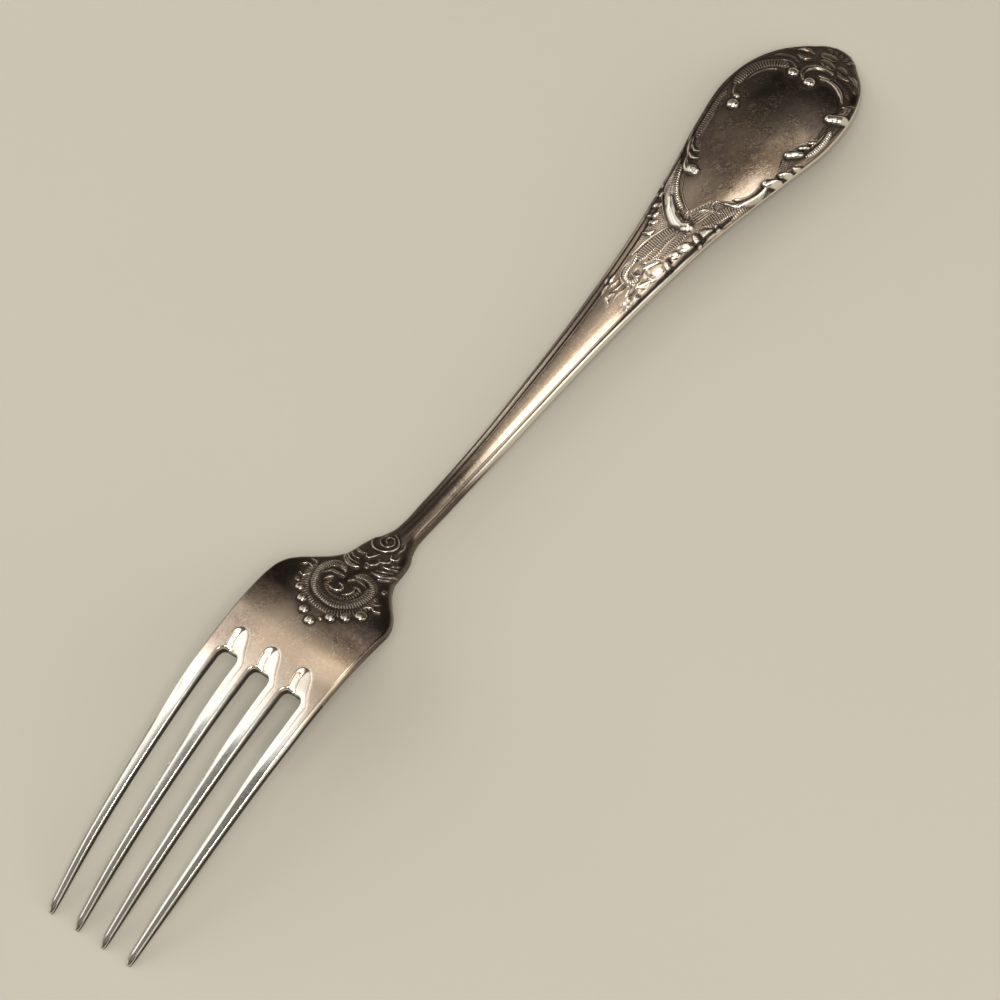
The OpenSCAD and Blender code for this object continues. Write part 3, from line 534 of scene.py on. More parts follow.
def shield_ornament(r):
    """Long scrolls, leaf clusters, milled bands and knobs along both edges of the bare shield."""
    # far side: leaf cluster with its stems, then the long milled band
    r.leaf(1.9, 0.68, [169.1, 3.2, 168.5, 4.3, 168.9, 5.6, 170.4, 6.7], vein=0.1)
    r.dome(168.8, 4.2, 1.35, 0.74, 0.78, 1.2)
    r.leaf(1.25, 0.58, [171.0, 4.6, 170.8, 5.8, 171.5, 7.2], vein=0.0)
    r.leaf(0.95, 0.54, [172.3, 5.3, 172.1, 6.3, 172.9, 7.4], vein=0.0)
    r.scroll(0.9, 0.5, [170.3, 6.5, 171.6, 7.3, 173.2, 8.2, 175.2, 9.1], thin=(0.6, 0.4))
    r.scroll(0.5, 0.45, [171.6, 7.0, 173.0, 7.5, 174.6, 8.3])
    r.scroll(0.4, 0.4, [168.3, 6.9, 169.7, 7.6, 171.6, 8.4, 173.6, 9.1])
    r.milled(1.0, 0.26, [174.3, 7.7, 176.2, 8.2, 178.4, 8.6, 180.6, 9.0, 182.8, 9.4, 184.8, 9.5],
        pitch=0.45, deep=0.6)
    r.scroll(0.35, 0.45, [173.2, 6.4, 175.4, 7.4, 178.2, 8.0, 181.0, 8.5, 182.7, 8.6])
    # knob and the wide scroll round the far corner
    r.dome(183.1, 6.8, 1.2, 0.83)
    r.dome(184.9, 7.4, 0.7, 0.62)
    r.scroll(0.9, 0.42, [184.4, 7.7, 185.9, 8.7, 188.0, 9.2, 189.8, 9.2], thin=(0.6, 0.8))
    r.milled(1.8, 0.5, [186.6, 9.2, 189.0, 9.4, 191.6, 9.0, 193.8, 7.8, 195.1, 6.1, 195.4, 4.5], pitch=0.5,
        deep=0.7)
    r.scroll(0.4, 0.66, [188.7, 8.3, 190.6, 8.0, 192.3, 7.2, 193.7, 5.8], thin=(0.4, 0.9))
    r.scroll(0.45, 0.6, [193.6, 8.5, 195.1, 7.4, 196.2, 6.0, 196.5, 4.6, 196.1, 3.6], thin=(0.5, 0.7))
    r.scroll(0.45, 0.36, [196.2, 8.2, 197.1, 7.1, 197.6, 5.5, 197.4, 4.0])
    r.dome(194.8, 3.1, 1.1, 0.81)
    r.groove(0.5, 0.25, [194.9, 4.3, 195.3, 4.6, 195.7, 4.2])
    # end: knob with its C, the lower C line, and the blossom
    r.dome(194.7, -0.5, 1.15, 0.83)
    r.scroll(1.35, 0.5, [194.7, 0.9, 195.7, 1.9, 197.1, 1.9, 198.3, 1.0, 198.9, -0.4, 198.9, -2.0],
        thin=(0.6, 0.6))
    r.leaf(0.95, 0.5, [196.8, -0.7, 197.2, -1.5, 197.5, -2.6], vein=0.1)
    r.scroll(1.15, 0.56, [196.5, -1.6, 196.9, -3.1, 196.7, -4.7, 195.9, -6.2, 194.8, -7.4], thin=(0.8, 0.5))
    r.leaf(1.05, 0.46, [199.2, -2.9, 199.4, -3.9, 199.6, -5.0], vein=0.1)
    r.leaf(1.0, 0.5, [199.3, 3.0, 198.7, 4.0, 198.8, 5.4], vein=0.1)
    r.dome(200.2, 0.1, 1.7, 0.5, 0.6, 1.35)
    r.dome(201.9, 1.2, 1.7, 0.46, 0.55, 1.75)
    r.dome(200.6, -2.6, 1.3, 0.36, 0.7, 0.9)
    r.scroll(1.1, 0.4, [198.6, 8.0, 200.1, 6.5, 200.9, 4.9, 200.8, 3.6])
    r.scroll(0.9, 0.34, [200.5, -4.2, 200.2, -5.6, 199.2, -6.9])
    for k in range(5):
        r.scroll(0.75, 0.26, [202.7, 1.2 - 0.7 * k, 203.4, 2.2 - 1.1 * k, 203.9, 3.2 - 1.5 * k])
    r.milled(1.5, 0.2, [198.3, -3.0, 198.4, -4.6, 197.7, -6.2, 196.4, -7.6], pitch=0.4, deep=0.6)
    r.milled(1.2, 0.2, [199.9, -5.4, 199.2, -6.6, 197.9, -7.9], pitch=0.4, deep=0.6)
    # near side, from the S scroll to the end
    r.scroll(0.4, 0.42, [164.9, -5.2, 164.6, -3.9, 165.1, -3.0, 166.1, -3.1, 166.5, -4.1, 166.7, -5.3],
        thin=(0.8, 0.8))
    r.milled(1.5, 0.22, [165.2, -6.6, 167.4, -7.4, 169.6, -8.3, 171.8, -9.1, 173.4, -9.4], pitch=0.42,
        deep=0.6)
    r.scroll(1.45, 0.6, [166.7, -4.6, 167.4, -6.1, 169.0, -7.3, 171.2, -8.2, 173.4, -8.2], thin=(0.5, 0.5))
    r.groove(0.6, 0.2, [167.9, -4.9, 168.7, -6.0, 170.1, -6.9, 171.8, -7.3, 173.2, -7.2])
    for x, y, size in ((174.6, -8.7, 1.9), (177.2, -9.5, 1.45), (179.4, -10.3, 1.0), (181.1, -8.2, 1.75),
                       (183.2, -8.7, 1.1), (184.8, -9.2, 0.85)):
        r.dome(x, y, size, 0.4 + 0.25 * size, 0.42, -0.8)
        r.dome(x - 0.45 * size, y + 0.45 * size, 0.42 * size, 0.35 + 0.25 * size)
        r.groove(0.5, 0.25, [x - 0.1, y + 0.75 * size, x + 0.45 * size, y + 0.15 * size,
            x + size, y - 0.5 * size])
    r.milled(1.0, 0.36, [181.9, -9.9, 183.9, -10.4, 186.2, -10.5, 188.6, -10.0], pitch=0.42)
    r.scroll(0.35, 0.42, [182.4, -8.9, 184.8, -9.5, 187.4, -9.5, 189.6, -8.9])
    r.dome(191.2, -9.4, 2.2, 0.9, 0.5, -1.0)
    r.dome(190.5, -8.3, 1.0, 0.85)
    r.scroll(1.7, 0.45, [191.6, -8.5, 193.0, -9.1, 194.8, -9.3])
    r.leaf(0.9, 0.4, [193.9, -8.2, 194.6, -9.0, 195.5, -9.6], vein=0.1)


SHIELD_EDGE = [161.9, -0.6, 163.2, 1.4, 164.7, 2.9, 166.8, 4.2, 168.6, 3.4, 170.4, 4.4, 172.4, 5.6,
    174.8, 7.0, 178.0, 7.7, 181.4, 8.2, 183.8, 6.4, 186.4, 7.5, 189.0, 7.8, 191.6, 7.0, 193.6, 5.2,
    193.9, 2.0, 194.2, 0.2, 195.4, -1.8, 196.0, -3.6, 195.2, -5.8, 193.6, -7.6, 191.8, -8.0, 189.8, -8.3,
    186.0, -8.9, 182.4, -7.2, 179.6, -7.0, 176.6, -8.0, 173.6, -7.4, 170.6, -7.3, 168.4, -6.2, 167.2, -4.4,
    165.8, -2.6, 163.6, -1.4]


def inside_share(x, y, points, soft):
    """1 inside the closed curve and 0 outside, easing over a soft width on each side of it.

    A point is inside where a line across the plan meets the curve an odd number of times after it.
    """
    path, _ = smooth_path(points + points[:2], 0.4)
    a, b = path[:-1], path[1:]
    climb = np.where(a[:, 1] == b[:, 1], 1e-9, b[:, 1] - a[:, 1])
    out = np.zeros_like(x)
    rows = np.flatnonzero((x[:, 0] > path[:, 0].min() - 2) & (x[:, 0] < path[:, 0].max() + 2))
    for part in np.array_split(rows, 12):
        px, py = x[part].ravel(), y[part].ravel()
        spans = (a[:, 1] > py[:, None]) != (b[:, 1] > py[:, None])
        crossing = a[:, 0] + (py[:, None] - a[:, 1]) / climb * (b - a)[:, 0]
        odd = (spans & (px[:, None] < crossing)).sum(1) % 2 == 1
        d = to_path(px, py, path)[0]
        out[part] = ease(-soft, soft, np.where(odd, d, -d)).reshape(len(part), -1)
    return out


def far_ridge(x):
    """Width of the outer ridge on the far side, from the edge to its first groove, in mm."""
    return mix(0.42, 0.85, ease(100, 148, x))


def edge_profile(x, y, d):
    """Threads beside the edges: two grooves and fine ridges on the far side, one and a roll on the near.

    Each groove is depth exp(-((d - place) / width)^2). Past the stem the inner ones fade and the outer ones
    go on. A hollow of the same kind runs along the middle of the neck.
    """
    stem = ease(NECK - 3.5, NECK + 1, x)
    inner = stem * (1 - ease(156, 168, x))
    far, ridge = y > 0, far_ridge(x)
    place = np.where(far, ridge - 0.06, mix(0.5, 0.62, ease(NECK, 166, x)))
    wide = np.where(far, 0.17, mix(0.12, 0.32, ease(128, 152, x)))
    deep = np.where(far, 0.2, mix(0.14, 0.3, ease(NECK, THROAT, x)) * (1 - ease(164.5, 167.5, x)))
    second = np.where(far, 0.22 * bell(d - ridge - 0.88, 0.2), 0)
    hollow = 0.17 * bell(y - 0.05, 0.42) * span(x, 84, 88, 97, 108)
    return ease(0, 0.15, d) * (-stem * (deep * bell(d - place, wide)) - inner * second) - hollow


def thread_wear_and_highlight(x, y, d):
    """The ridge between the far threads and the roll along the near edge, rubbed bright beside the stem: wear
    and a painted highlight.
    """
    far = 0.8 * (y > 0) * bell(d - far_ridge(x) - 0.41, 0.22) * (1 - ease(118, 140, x))
    near = 0.9 * (y < 0) * ease(0.55, 0.3, d) * (1 - ease(150, 166, x))
    return (far + near) * ease(96, 106, x)


def blur(grid, reach):
    """Average with a bell of the given reach in grid steps, down the rows and then across them."""
    n = int(reach * 2.5)
    weights = np.exp(-0.5 * (np.arange(-n, n + 1) / reach) ** 2)
    weights /= weights.sum()
    for axis in (0, 1):
        pad = [(n, n) if k == axis else (0, 0) for k in (0, 1)]
        wide = np.pad(grid, pad, mode="edge")
        size = grid.shape[axis]
        grid = sum(weight * np.take(wide, np.arange(i, i + size), axis) for i, weight in enumerate(weights))
    return grid


def struck_relief(x, y, d):
    """Relief of the back at grid points, its ground outside the shield sunk, and the milling's dark lines."""
    r = Relief(x, y)
    shield = inside_share(x, y, SHIELD_EDGE, 0.25)
    band = ease(0.9, 1.5, d) * ease(THROAT + 2, THROAT + 12, x) * (1 - shield)
    heel_ornament(r)
    throat_ornament(r)
    shield_ornament(r)
    r.pebbles(0.07, 0.42, band * (r.high < 0.03))
    return r.high - r.cut - GROUND_SUNK * band, r.lines * (r.high < 0.6)


def back_height(x, y, d, relief):
    """Height of the back: the back line, less the crown (y / w)^2 and the edge's quarter round, plus relief.

    Beside the shield the near side falls away further, and the stem is flatter with smaller rounds.
    """
    r = edge_line(x) * mix(1, 0.6, span(x, NECK, NECK + 6, 160, 172))
    fade = mix(edge_line(x) * 0.8, 0.85, ease(165, 172, x))
    fall = NEAR_FALL * ease(2.5, 8.5, -y) * span(x, 150, 168, 170, 192)
    crown = crown_line(x) * mix(1, 0.8, span(x, NECK - 3, NECK + 4, 138, 160))
    return (back_line(x) - crown * (y / half_w(x)) ** 2 - edge_drop(d, r) - fall
            + ease(0, 1, d / fade) * relief + edge_profile(x, y, d))


def front_height(x, y, d):
    """Height of the front: the back line less the thickness, hollowed by (y / w)^2, with rounded edges."""
    return (back_line(x) - thickness_line(x) - crown_line(x) * belly_line(x) * (y / half_w(x)) ** 2
            + edge_drop(d, front_edge_line(x)))


def corners_apart(faces):
    """The faces that have no two neighbouring corners in one point."""
    return faces[np.all(faces != np.roll(faces, 1, 1), 1)]


class Blank:
    """Collects grids of points into one closed skin, so that neighbours share points and normals."""

    def __init__(self):
        self.points, self.marks, self.count = [], [], 0
        self.quads, self.quad_zone, self.tris, self.tri_zone, self.ends = [], [], [], [], []

    def grid(self, points, zone, outward, tarnish_and_shade=0.0, rub_and_sheen=0.0, film_and_painted_light=0.8):
        """Adds a grid of points (rows, columns, 3) with a zone for each row of cells; returns their ids."""
        rows, cols = points.shape[:2]
        ids = self.count + np.arange(rows * cols).reshape(rows, cols)
        self.count += rows * cols
        self.points.append(points.reshape(-1, 3))
        marks = np.stack([np.broadcast_to(mark, (rows, cols)) for mark in (tarnish_and_shade, rub_and_sheen, film_and_painted_light)], -1)
        self.marks.append(marks.reshape(-1, 3).astype(float))
        quads = np.stack([ids[:-1, :-1], ids[1:, :-1], ids[1:, 1:], ids[:-1, 1:]], -1)
        p = points
        normal = np.cross(p[1:, 1:] - p[:-1, :-1], p[:-1, 1:] - p[1:, :-1]).reshape(-1, 3).sum(0)
        if normal @ np.array(outward, float) < 0:
            quads = quads[..., ::-1]
        self.quads.append(quads.reshape(-1, 4))
        self.quad_zone.append(np.repeat(np.broadcast_to(zone, rows - 1), cols - 1))
        return ids

    def zip(self, fine, coarse, zone, outward):
        """Triangles between a fine row of points and a coarse one that starts and ends at the same places."""
        n, m = len(fine) - 1, len(coarse) - 1
        i = np.arange(n)
        p, q = (np.round(k * m / n).astype(int) for k in (i, i + 1))
        tris = np.stack([fine[i], fine[i + 1], coarse[q]], -1)
        more = p != q
        tris = np.vstack([tris, np.stack([fine[i], coarse[q], coarse[p]], -1)[more]])
        t = np.vstack(self.points)[tris]
        normal = np.cross(t[:, 1] - t[:, 0], t[:, 2] - t[:, 0]).sum(0)
        if normal @ np.array(outward, float) < 0:
            tris = tris[:, ::-1]
        self.tris.append(tris)
        self.tri_zone.append(np.full(len(tris), zone))

    def end(self, ids, zone, side, hidden=False):
        """A flat face round a loop of ids, facing 1 or -1 along x; a hidden one lies where two zones meet."""
        self.ends.append((ids, zone, np.array([side, 0, 0.0]), hidden))

    def cut(self, ids, before, after):
        """The two flat faces where one zone meets the next."""
        self.end(ids, before, 1, True)
        self.end(ids, after, -1, True)

    def weld(self):
        """Merges points that coincide and works out smooth normals: the sum of the faces' area vectors."""
        pts = np.vstack(self.points)
        keys = np.floor(pts / 1e-4 + 0.137).astype(np.int64)
        _, first, same = np.unique(keys, axis=0, return_index=True, return_inverse=True)
        same = same.ravel()
        self.at, self.mark = pts[first], np.vstack(self.marks)[first]
        self.all_quads, self.all_tris = same[np.vstack(self.quads)], same[np.vstack(self.tris)]
        self.all_quad_zone, self.all_tri_zone = np.concatenate(self.quad_zone), np.concatenate(self.tri_zone)
        normal = np.zeros_like(self.at)
        q, t = self.at[self.all_quads], self.at[self.all_tris]
        across = np.cross(q[:, 2] - q[:, 0], q[:, 3] - q[:, 1])
        flat = np.cross(t[:, 1] - t[:, 0], t[:, 2] - t[:, 0])
        for corners, vectors in ((self.all_quads, across), (self.all_tris, flat)):
            for k in range(corners.shape[1]):
                for axis in range(3):
                    normal[:, axis] += np.bincount(corners[:, k], vectors[:, axis], len(self.at))
        self.loops = []
        for ids, zone, outward, hidden in self.ends:
            ids = same[ids]
            ids = ids[np.flatnonzero(ids != np.roll(ids, 1))]
            p = self.at[ids] - self.at[ids].mean(0)
            area = np.cross(p, np.roll(p, -1, 0)).sum(0)
            if area @ outward < 0:
                ids = ids[::-1]
            if not hidden:
                normal[ids] += outward * 0.01
            self.loops.append((ids, zone, outward))
        self.normal = normal / np.maximum(np.linalg.norm(normal, axis=1), 1e-12)[:, None]

    def piece(self, name, zone):
        """Makes a zone's mesh object, with its ends closed by flat faces and the shared normals elsewhere."""
        quads = corners_apart(self.all_quads[self.all_quad_zone == zone])
        tris = corners_apart(self.all_tris[self.all_tri_zone == zone])
        ends = [(ids, outward) for ids, z, outward in self.loops if z == zone]
        corners = np.concatenate([quads.ravel(), tris.ravel()] + [ids for ids, _ in ends])
        sizes = [4] * len(quads) + [3] * len(tris) + [len(ids) for ids, _ in ends]
        used, local = np.unique(corners, return_inverse=True)
        normals = self.normal[corners]
        at = quads.size + tris.size
        for ids, outward in ends:
            normals[at:at + len(ids)] = outward
            at += len(ids)
        mesh = bpy.data.meshes.new(name)
        mesh.vertices.add(len(used))
        places = (self.at[used] - [LENGTH / 2, 0, 0]) / 1000
        mesh.vertices.foreach_set("co", places.astype(np.float32).ravel())
        mesh.loops.add(len(corners))
        mesh.loops.foreach_set("vertex_index", local.ravel().astype(np.int32))
        mesh.polygons.add(len(sizes))
        mesh.polygons.foreach_set("loop_start", np.concatenate([[0], np.cumsum(sizes)[:-1]]).astype(np.int32))
        mesh.polygons.foreach_set("use_smooth", np.ones(len(sizes), bool))
        for k, title in enumerate(("tarnish_and_shade", "rub_and_sheen", "film_and_painted_light")):
            layer = mesh.attributes.new(title, "FLOAT", "POINT")
            layer.data.foreach_set("value", self.mark[used, k].astype(np.float32))
        mesh.update(calc_edges=True)
        mesh.validate()
        mesh.normals_split_custom_set(normals.astype(np.float32))
        obj = bpy.data.objects.new(name, mesh)
        bpy.context.scene.collection.objects.link(obj)
        return obj


# Segments across the back and the front: edge rounds, outer tines, slots and inner tines
BACK_SEGMENTS = dict(edge=12, outer=22, slot=42, inner=34)
FRONT_SEGMENTS = dict(edge=4, outer=5, slot=10, inner=8)
WALL_SEGMENTS = 5


def crowded(n, share=0.45):
    """n + 1 places from 0 to 1, closer together at both ends: a straight run mixed with a cosine."""
    t = np.linspace(0, 1, n + 1)
    return mix(t, 0.5 - 0.5 * np.cos(pi * t), share)


def edge_steps(x, n, room):
    """Distances of the edge's columns, r (1 - cos a) for even angles, stretched where the edge runs askew."""
    askew = np.sqrt(1 + np.minimum(outline_slope(x) ** 2, 4))
    reach = np.minimum(edge_line(x) * 1.25 * askew, room * 0.45)
    return reach[:, None] * (1 - np.cos(np.linspace(0, pi / 2, n + 1)))


def tine_columns(x, k, seg):
    """Places across a tine and its run-on in the root, from its upper edge to its lower one."""
    high, low = (v[:, None] for v in tine_edges(x, k))
    if k in (1, 2):
        return mix(high, low, crowded(seg["inner"], 0.6))
    steps = edge_steps(x, seg["edge"], (high - low)[:, 0])
    if k == 0:
        return np.hstack([high - steps[:, :-1], mix(high - steps[:, -1:], low, crowded(seg["outer"], 0.3))])
    rest = mix(high, low + steps[:, -1:], crowded(seg["outer"], 0.3))
    return np.hstack([rest[:, :-1], low + steps[:, ::-1]])


def body_columns(x, seg):
    """Places across the blank past the slots: as in the root at first, then evenly over the width."""
    w = half_w(x)[:, None]
    steps = edge_steps(x, seg["edge"], half_w(x))
    across_slot = SLOT_W * crowded(seg["slot"], 0.4)[:-1]
    parts = []
    for k, middle in enumerate(SLOT_MIDDLES):
        parts.append(tine_columns(x, k, seg)[:, :-1])
        parts.append(np.broadcast_to(middle + SLOT_W / 2 - across_slot, (len(x), seg["slot"])))
    root = np.hstack(parts + [tine_columns(x, 3, seg)])
    inner = root.shape[1] - 2 * seg["edge"] - 1
    middle = mix(w - steps[:, -1:], -(w - steps[:, -1:]), np.linspace(0, 1, inner + 1))
    even = np.hstack([w - steps[:, :-1], middle, -(w - steps[:, -2::-1])])
    return mix(root, even, ease(COMMON, PLATE_END, x)[:, None])


def head_top(x, y):
    """Back of the head before its edges wear: the back line, less the point at the tips and the crown."""
    return back_line(x) - point_line(x) - crown_line(x) * (y / half_w(x)) ** 2


def head_under(x, y):
    """Front of the head before its edges are rounded: the back line, less the thickness and the crown."""
    return back_line(x) - thickness_line(x) - crown_line(x) * (y / half_w(x)) ** 2


def root_back(x, y):
    """Back of the root, with the outer edges' rounds, bevels along the slots and scoops beyond them."""
    z = head_top(x, y) - edge_drop(from_outline(x, y), edge_line(x))
    for middle in SLOT_MIDDLES:
        z = z - slot_fall(x, y - middle)
    return z


def root_front(x, y):
    """Front of the root, with small rounds on the outer edges."""
    return head_under(x, y) + edge_drop(from_outline(x, y), front_edge_line(x))


def tine_back(x, y, k):
    """Back of one tine: convex, with a bevel on its upper edge and a small round on its lower edge."""
    high, low = (v[:, None] for v in tine_edges(x[:, 0], k))
    half = (high - low) / 2
    outer = ease(TINE_LENGTH - 14, TINE_LENGTH, x)
    fall = bevel(x, high - y, half * 1.2)
    small = np.minimum(mix(0.16, 0.4, ease(30, 44, x)), half * 0.8)
    if k == 0:
        fall = mix(fall, edge_drop(high - y, edge_line(x)), outer)
    r_low = mix(small, edge_line(x), outer) if k == 3 else small
    bulge = 0.05 * ((y - (high + low) / 2) / half) ** 2 * (1 - ease(30, TINE_LENGTH, x))
    return np.maximum(head_top(x, y) - bulge - fall - edge_drop(y - low, r_low), 0.18)


def tine_front(x, y, k):
    """Front of one tine, rounded on both edges, and flat where it rests."""
    high, low = (v[:, None] for v in tine_edges(x[:, 0], k))
    near_root = ease(TINE_LENGTH - 4, TINE_LENGTH, x)
    small = np.minimum(0.2, (high - low) * 0.2)
    r_high = mix(small, front_edge_line(x) if k == 0 else 1e-6, near_root)
    r_low = mix(small, front_edge_line(x) if k == 3 else 1e-6, near_root)
    return np.maximum(head_under(x, y) + edge_drop(high - y, r_high) + edge_drop(y - low, r_low), 0)


def scooped(x, y):
    """1 in the bevels and scoops beside the slots, from how far they fall, and less in the nearest scoop,
    which paints shade into it.
    """
    fallen = ease(0.02, 0.2, sum(slot_fall(x, y - middle) for middle in SLOT_MIDDLES))
    return fallen * (1 - 0.6 * ease(50, 51.5, x) * ease(-3, -4, y))


def film_and_painted_light_share(x, y):
    """How much brown film age has left, by places: little on the tines and where hands and cloths rub; part
    of it is painted light.
    """
    # upper: painted shade, more film on the root plate's far side
    far, upper = ease(-1.2, 1.6, y), 0.26 * ease(3, 9, y)
    # panel: less film on the stem panel; the extra taken off its near half is a painted highlight
    panel = span(x, 97, 113, 150, 164)
    throat = ease(138, 148, x) * (1 - ease(164, 175, x + 0.4 * y))
    # near: painted sheen, less film on the shield's near side
    near = ease(-3.2, -7, y) * ease(158, 166, x) * (1 - 0.6 * ease(171, 177, x)) * (1 - ease(184, 194, x))
    root = (0.36 + upper) * ease(43, 51, x) * (1 - scooped(x, y))
    root = root + (0.6 - upper) * ease(55.4, 62, x - 1.3 * (1 - (y / 11) ** 2) - 1.1 * ease(-4, 1, y))
    # painted highlight: less film along the root's near edge
    root = root - 0.25 * ease(-2, -8, y) * span(x, 53, 55, 56.5, 60)
    # painted highlight band along the neck, just inside its near side
    neck_highlight_band = mix(0.5, 0.25, ease(88, 97, x)) * bell(y + 1.3, 0.38) * span(x, 82, 87, 98, 108)
    return 0.04 + root - panel * mix(0.64, 0.3, far) - throat * mix(0.15, 0.35, far) - 0.28 * near - neck_highlight_band


def root_rub(x, y):
    """How far use has rubbed the head bare: the tines wholly, then the scoops beside the slots."""
    return np.maximum(1 - ease(41, 51, x), 0.9 * scooped(x, y) * (1 - ease(54, 56, x)))


def rub_and_sheen_share(x, y, relief, wide_level):
    """How far use has rubbed the metal bare: most on what stands out, on the throat and on the near side,
    whose extra is a painted highlight.
    """
    throat = ease(140, 150, x) * (1 - ease(164, 176, x + 0.5 * y))
    # open_side: the throat, and the shield's near side, where the extra rub is a painted highlight
    open_side = np.maximum(throat, ease(-3, -6, y) * span(x, 150, 160, 190, 197))
    above = (relief - 0.7 * wide_level - 0.03) / mix(0.26, 0.2, open_side)
    tops = mix(0.65, 0.8, open_side) * np.clip(above, 0, 1) + 0.4 * ease(0.5, 0.75, relief)
    tops = tops * (1 - 0.6 * ease(183, 187, x) * ease(4, 7.5, y) - 0.3 * ease(194, 199, x))
    return np.maximum(np.minimum(tops, 1), root_rub(x, y))


def tarnish_and_shade_share(x, y, d, relief, level, wide_level, lines):
    """How dark tarnish and painted shade are: tarnish in what lies lower than its surroundings, in the
    grooves and in the milling.

    Darker along the neck, most on its far half, which is painted shade; darker inside the far threads and at
    the far corner and the nose.
    """
    low = np.clip((level - relief) / 0.18, 0, 1) * 0.75 + np.clip((wide_level - relief) / 0.22, 0, 1) * 0.45
    low = low * mix(mix(1.35, 1, ease(88, 130, x)), 0.75, span(x, 138, 146, 160, 172))
    # painted shade: the neck darker, most on its far half
    neck = (0.15 + 0.35 * ease(-0.5, 0.1, y)) * span(x, 79, 86, 92, 108)
    threads = 0.35 * (y > 0) * ease(2.1, 1.3, d) * ease(116, 138, x) * (1 - 0.6 * ease(165, 180, x))
    corner = 0.3 * ease(184, 188, x) * ease(4, 7, y) + 0.25 * ease(199, 203, x)
    return np.clip(low - edge_profile(x, y, d) * 4 + 0.8 * lines + neck + threads + corner, 0, 1)


def stack(x, y, z):
    """Grids of x, y and z as one grid of points."""
    return np.stack(np.broadcast_arrays(x, y, z), -1)


def wall(top, bottom):
    """Rows of points down a wall, from its upper edge to its lower one."""
    return mix(top[:, None, :], bottom[:, None, :], np.linspace(0, 1, WALL_SEGMENTS + 1)[:, None])


# Places where the zones past the root begin, and all zones in order
PLANES = dict(heel=PLATE_END, neck=COLLAR, stem=NECK, handle_throat=THROAT, handle_shield=SHIELD,
              handle_tip=TIP)
ZONES = ["tine_1", "tine_2", "tine_3", "tine_4", "root_plate"] + list(PLANES)
ROOT_ZONE = ZONES.index("root_plate")

# Rows from the slots' ends to the common row, as shares of the way
RUN_ON = crowded(14, 0.5)


def stations(stops, end):
    """Places along the fork from stop to stop, each given with the step after it, without the end."""
    parts = []
    for (start, step), stop in zip(stops, [place for place, _ in stops[1:]] + [end]):
        parts.append(np.linspace(start, stop, int(round((stop - start) / step)) + 1)[:-1])
    return np.concatenate(parts)


def columned(x, y):
    """The places x for each column of y."""
    return np.repeat(x[:, None], y.shape[1], 1)


def section(back, front, walls, i):
    """Loop of point ids round the section at row i."""
    return np.concatenate([back[i], walls[1][i], front[i][::-1], walls[0][i][::-1]])


def add_body(blank):
    """Back, front and walls of the fork past the slots, cut at the planes between its zones."""
    end = LENGTH - 2 * (1 - np.linspace(0, 1, 34)) ** 1.5
    stops = [(COMMON, 0.25), (PLATE_END, HEEL_STEP), (COLLAR, HEEL_STEP), (NECK, 0.38), (THROAT, HANDLE_STEP),
             (SHIELD, HANDLE_STEP), (TIP, HANDLE_STEP)]
    x = np.append(stations(stops, LENGTH - 2), end)
    zone = ROOT_ZONE + np.searchsorted(list(PLANES.values()), (x[:-1] + x[1:]) / 2)
    early = x < PLATE_END
    lean = NOSE_LEAN * ease(198.5, LENGTH, x)[:, None]
    y = body_columns(x, BACK_SEGMENTS)
    gx = columned(x, y)
    d = from_outline(gx, y)
    relief, lines = struck_relief(gx, y + lean, d)
    relief *= ease(PLATE_END, PLATE_END + 0.3, gx)
    z = back_height(gx, y, d, relief)
    z[early] = root_back(gx[early], y[early])
    level, wide_level = blur(relief, 4.5), blur(relief, 11)
    tarnish_and_shade = tarnish_and_shade_share(gx, y, d, relief, level, wide_level, lines)
    rub_and_sheen = np.maximum(rub_and_sheen_share(gx, y, relief, wide_level), thread_wear_and_highlight(gx, y, d))
    back = stack(gx, y + lean, np.maximum(z, 0))
    back_ids = blank.grid(back, zone, (0, 0, 1), tarnish_and_shade, rub_and_sheen, film_and_painted_light_share(gx, y))

    y = body_columns(x, FRONT_SEGMENTS)
    gx = columned(x, y)
    z = front_height(gx, y, from_outline(gx, y))
    z[early] = root_front(gx[early], y[early])
    front = stack(gx, y + lean, np.maximum(z, 0))
    front_ids = blank.grid(front, zone, (0, 0, -1))

    # Walls: the far and the near column; painted shade on both from the heel on, then from the stem on
    # painted shade on the far wall and a painted highlight on the near one
    walls = []
    stem, painted_wall_shade = ease(98, 112, x)[:, None], 0.85 * ease(58, 66, x)[:, None]
    for column, side, tarnish_and_shade, rub_and_sheen, film_and_painted_light in ((0, 1, 0.4, 0, 0.7), (-1, -1, 0.05, 0.95, 0.25)):
        rows = wall(back[:, column], front[:, column])
        marks = mix(painted_wall_shade, tarnish_and_shade, stem), rub_and_sheen * stem, mix(0.9, film_and_painted_light, stem)
        walls.append(blank.grid(rows, zone, (0, side, 0), *marks))
    for name, place in PLANES.items():
        i = int(np.argmin(np.abs(x - place)))
        blank.cut(section(back_ids, front_ids, walls, i), ZONES.index(name) - 1, ZONES.index(name))
    blank.end(section(back_ids, front_ids, walls, -1), ZONES.index("handle_tip"), 1)


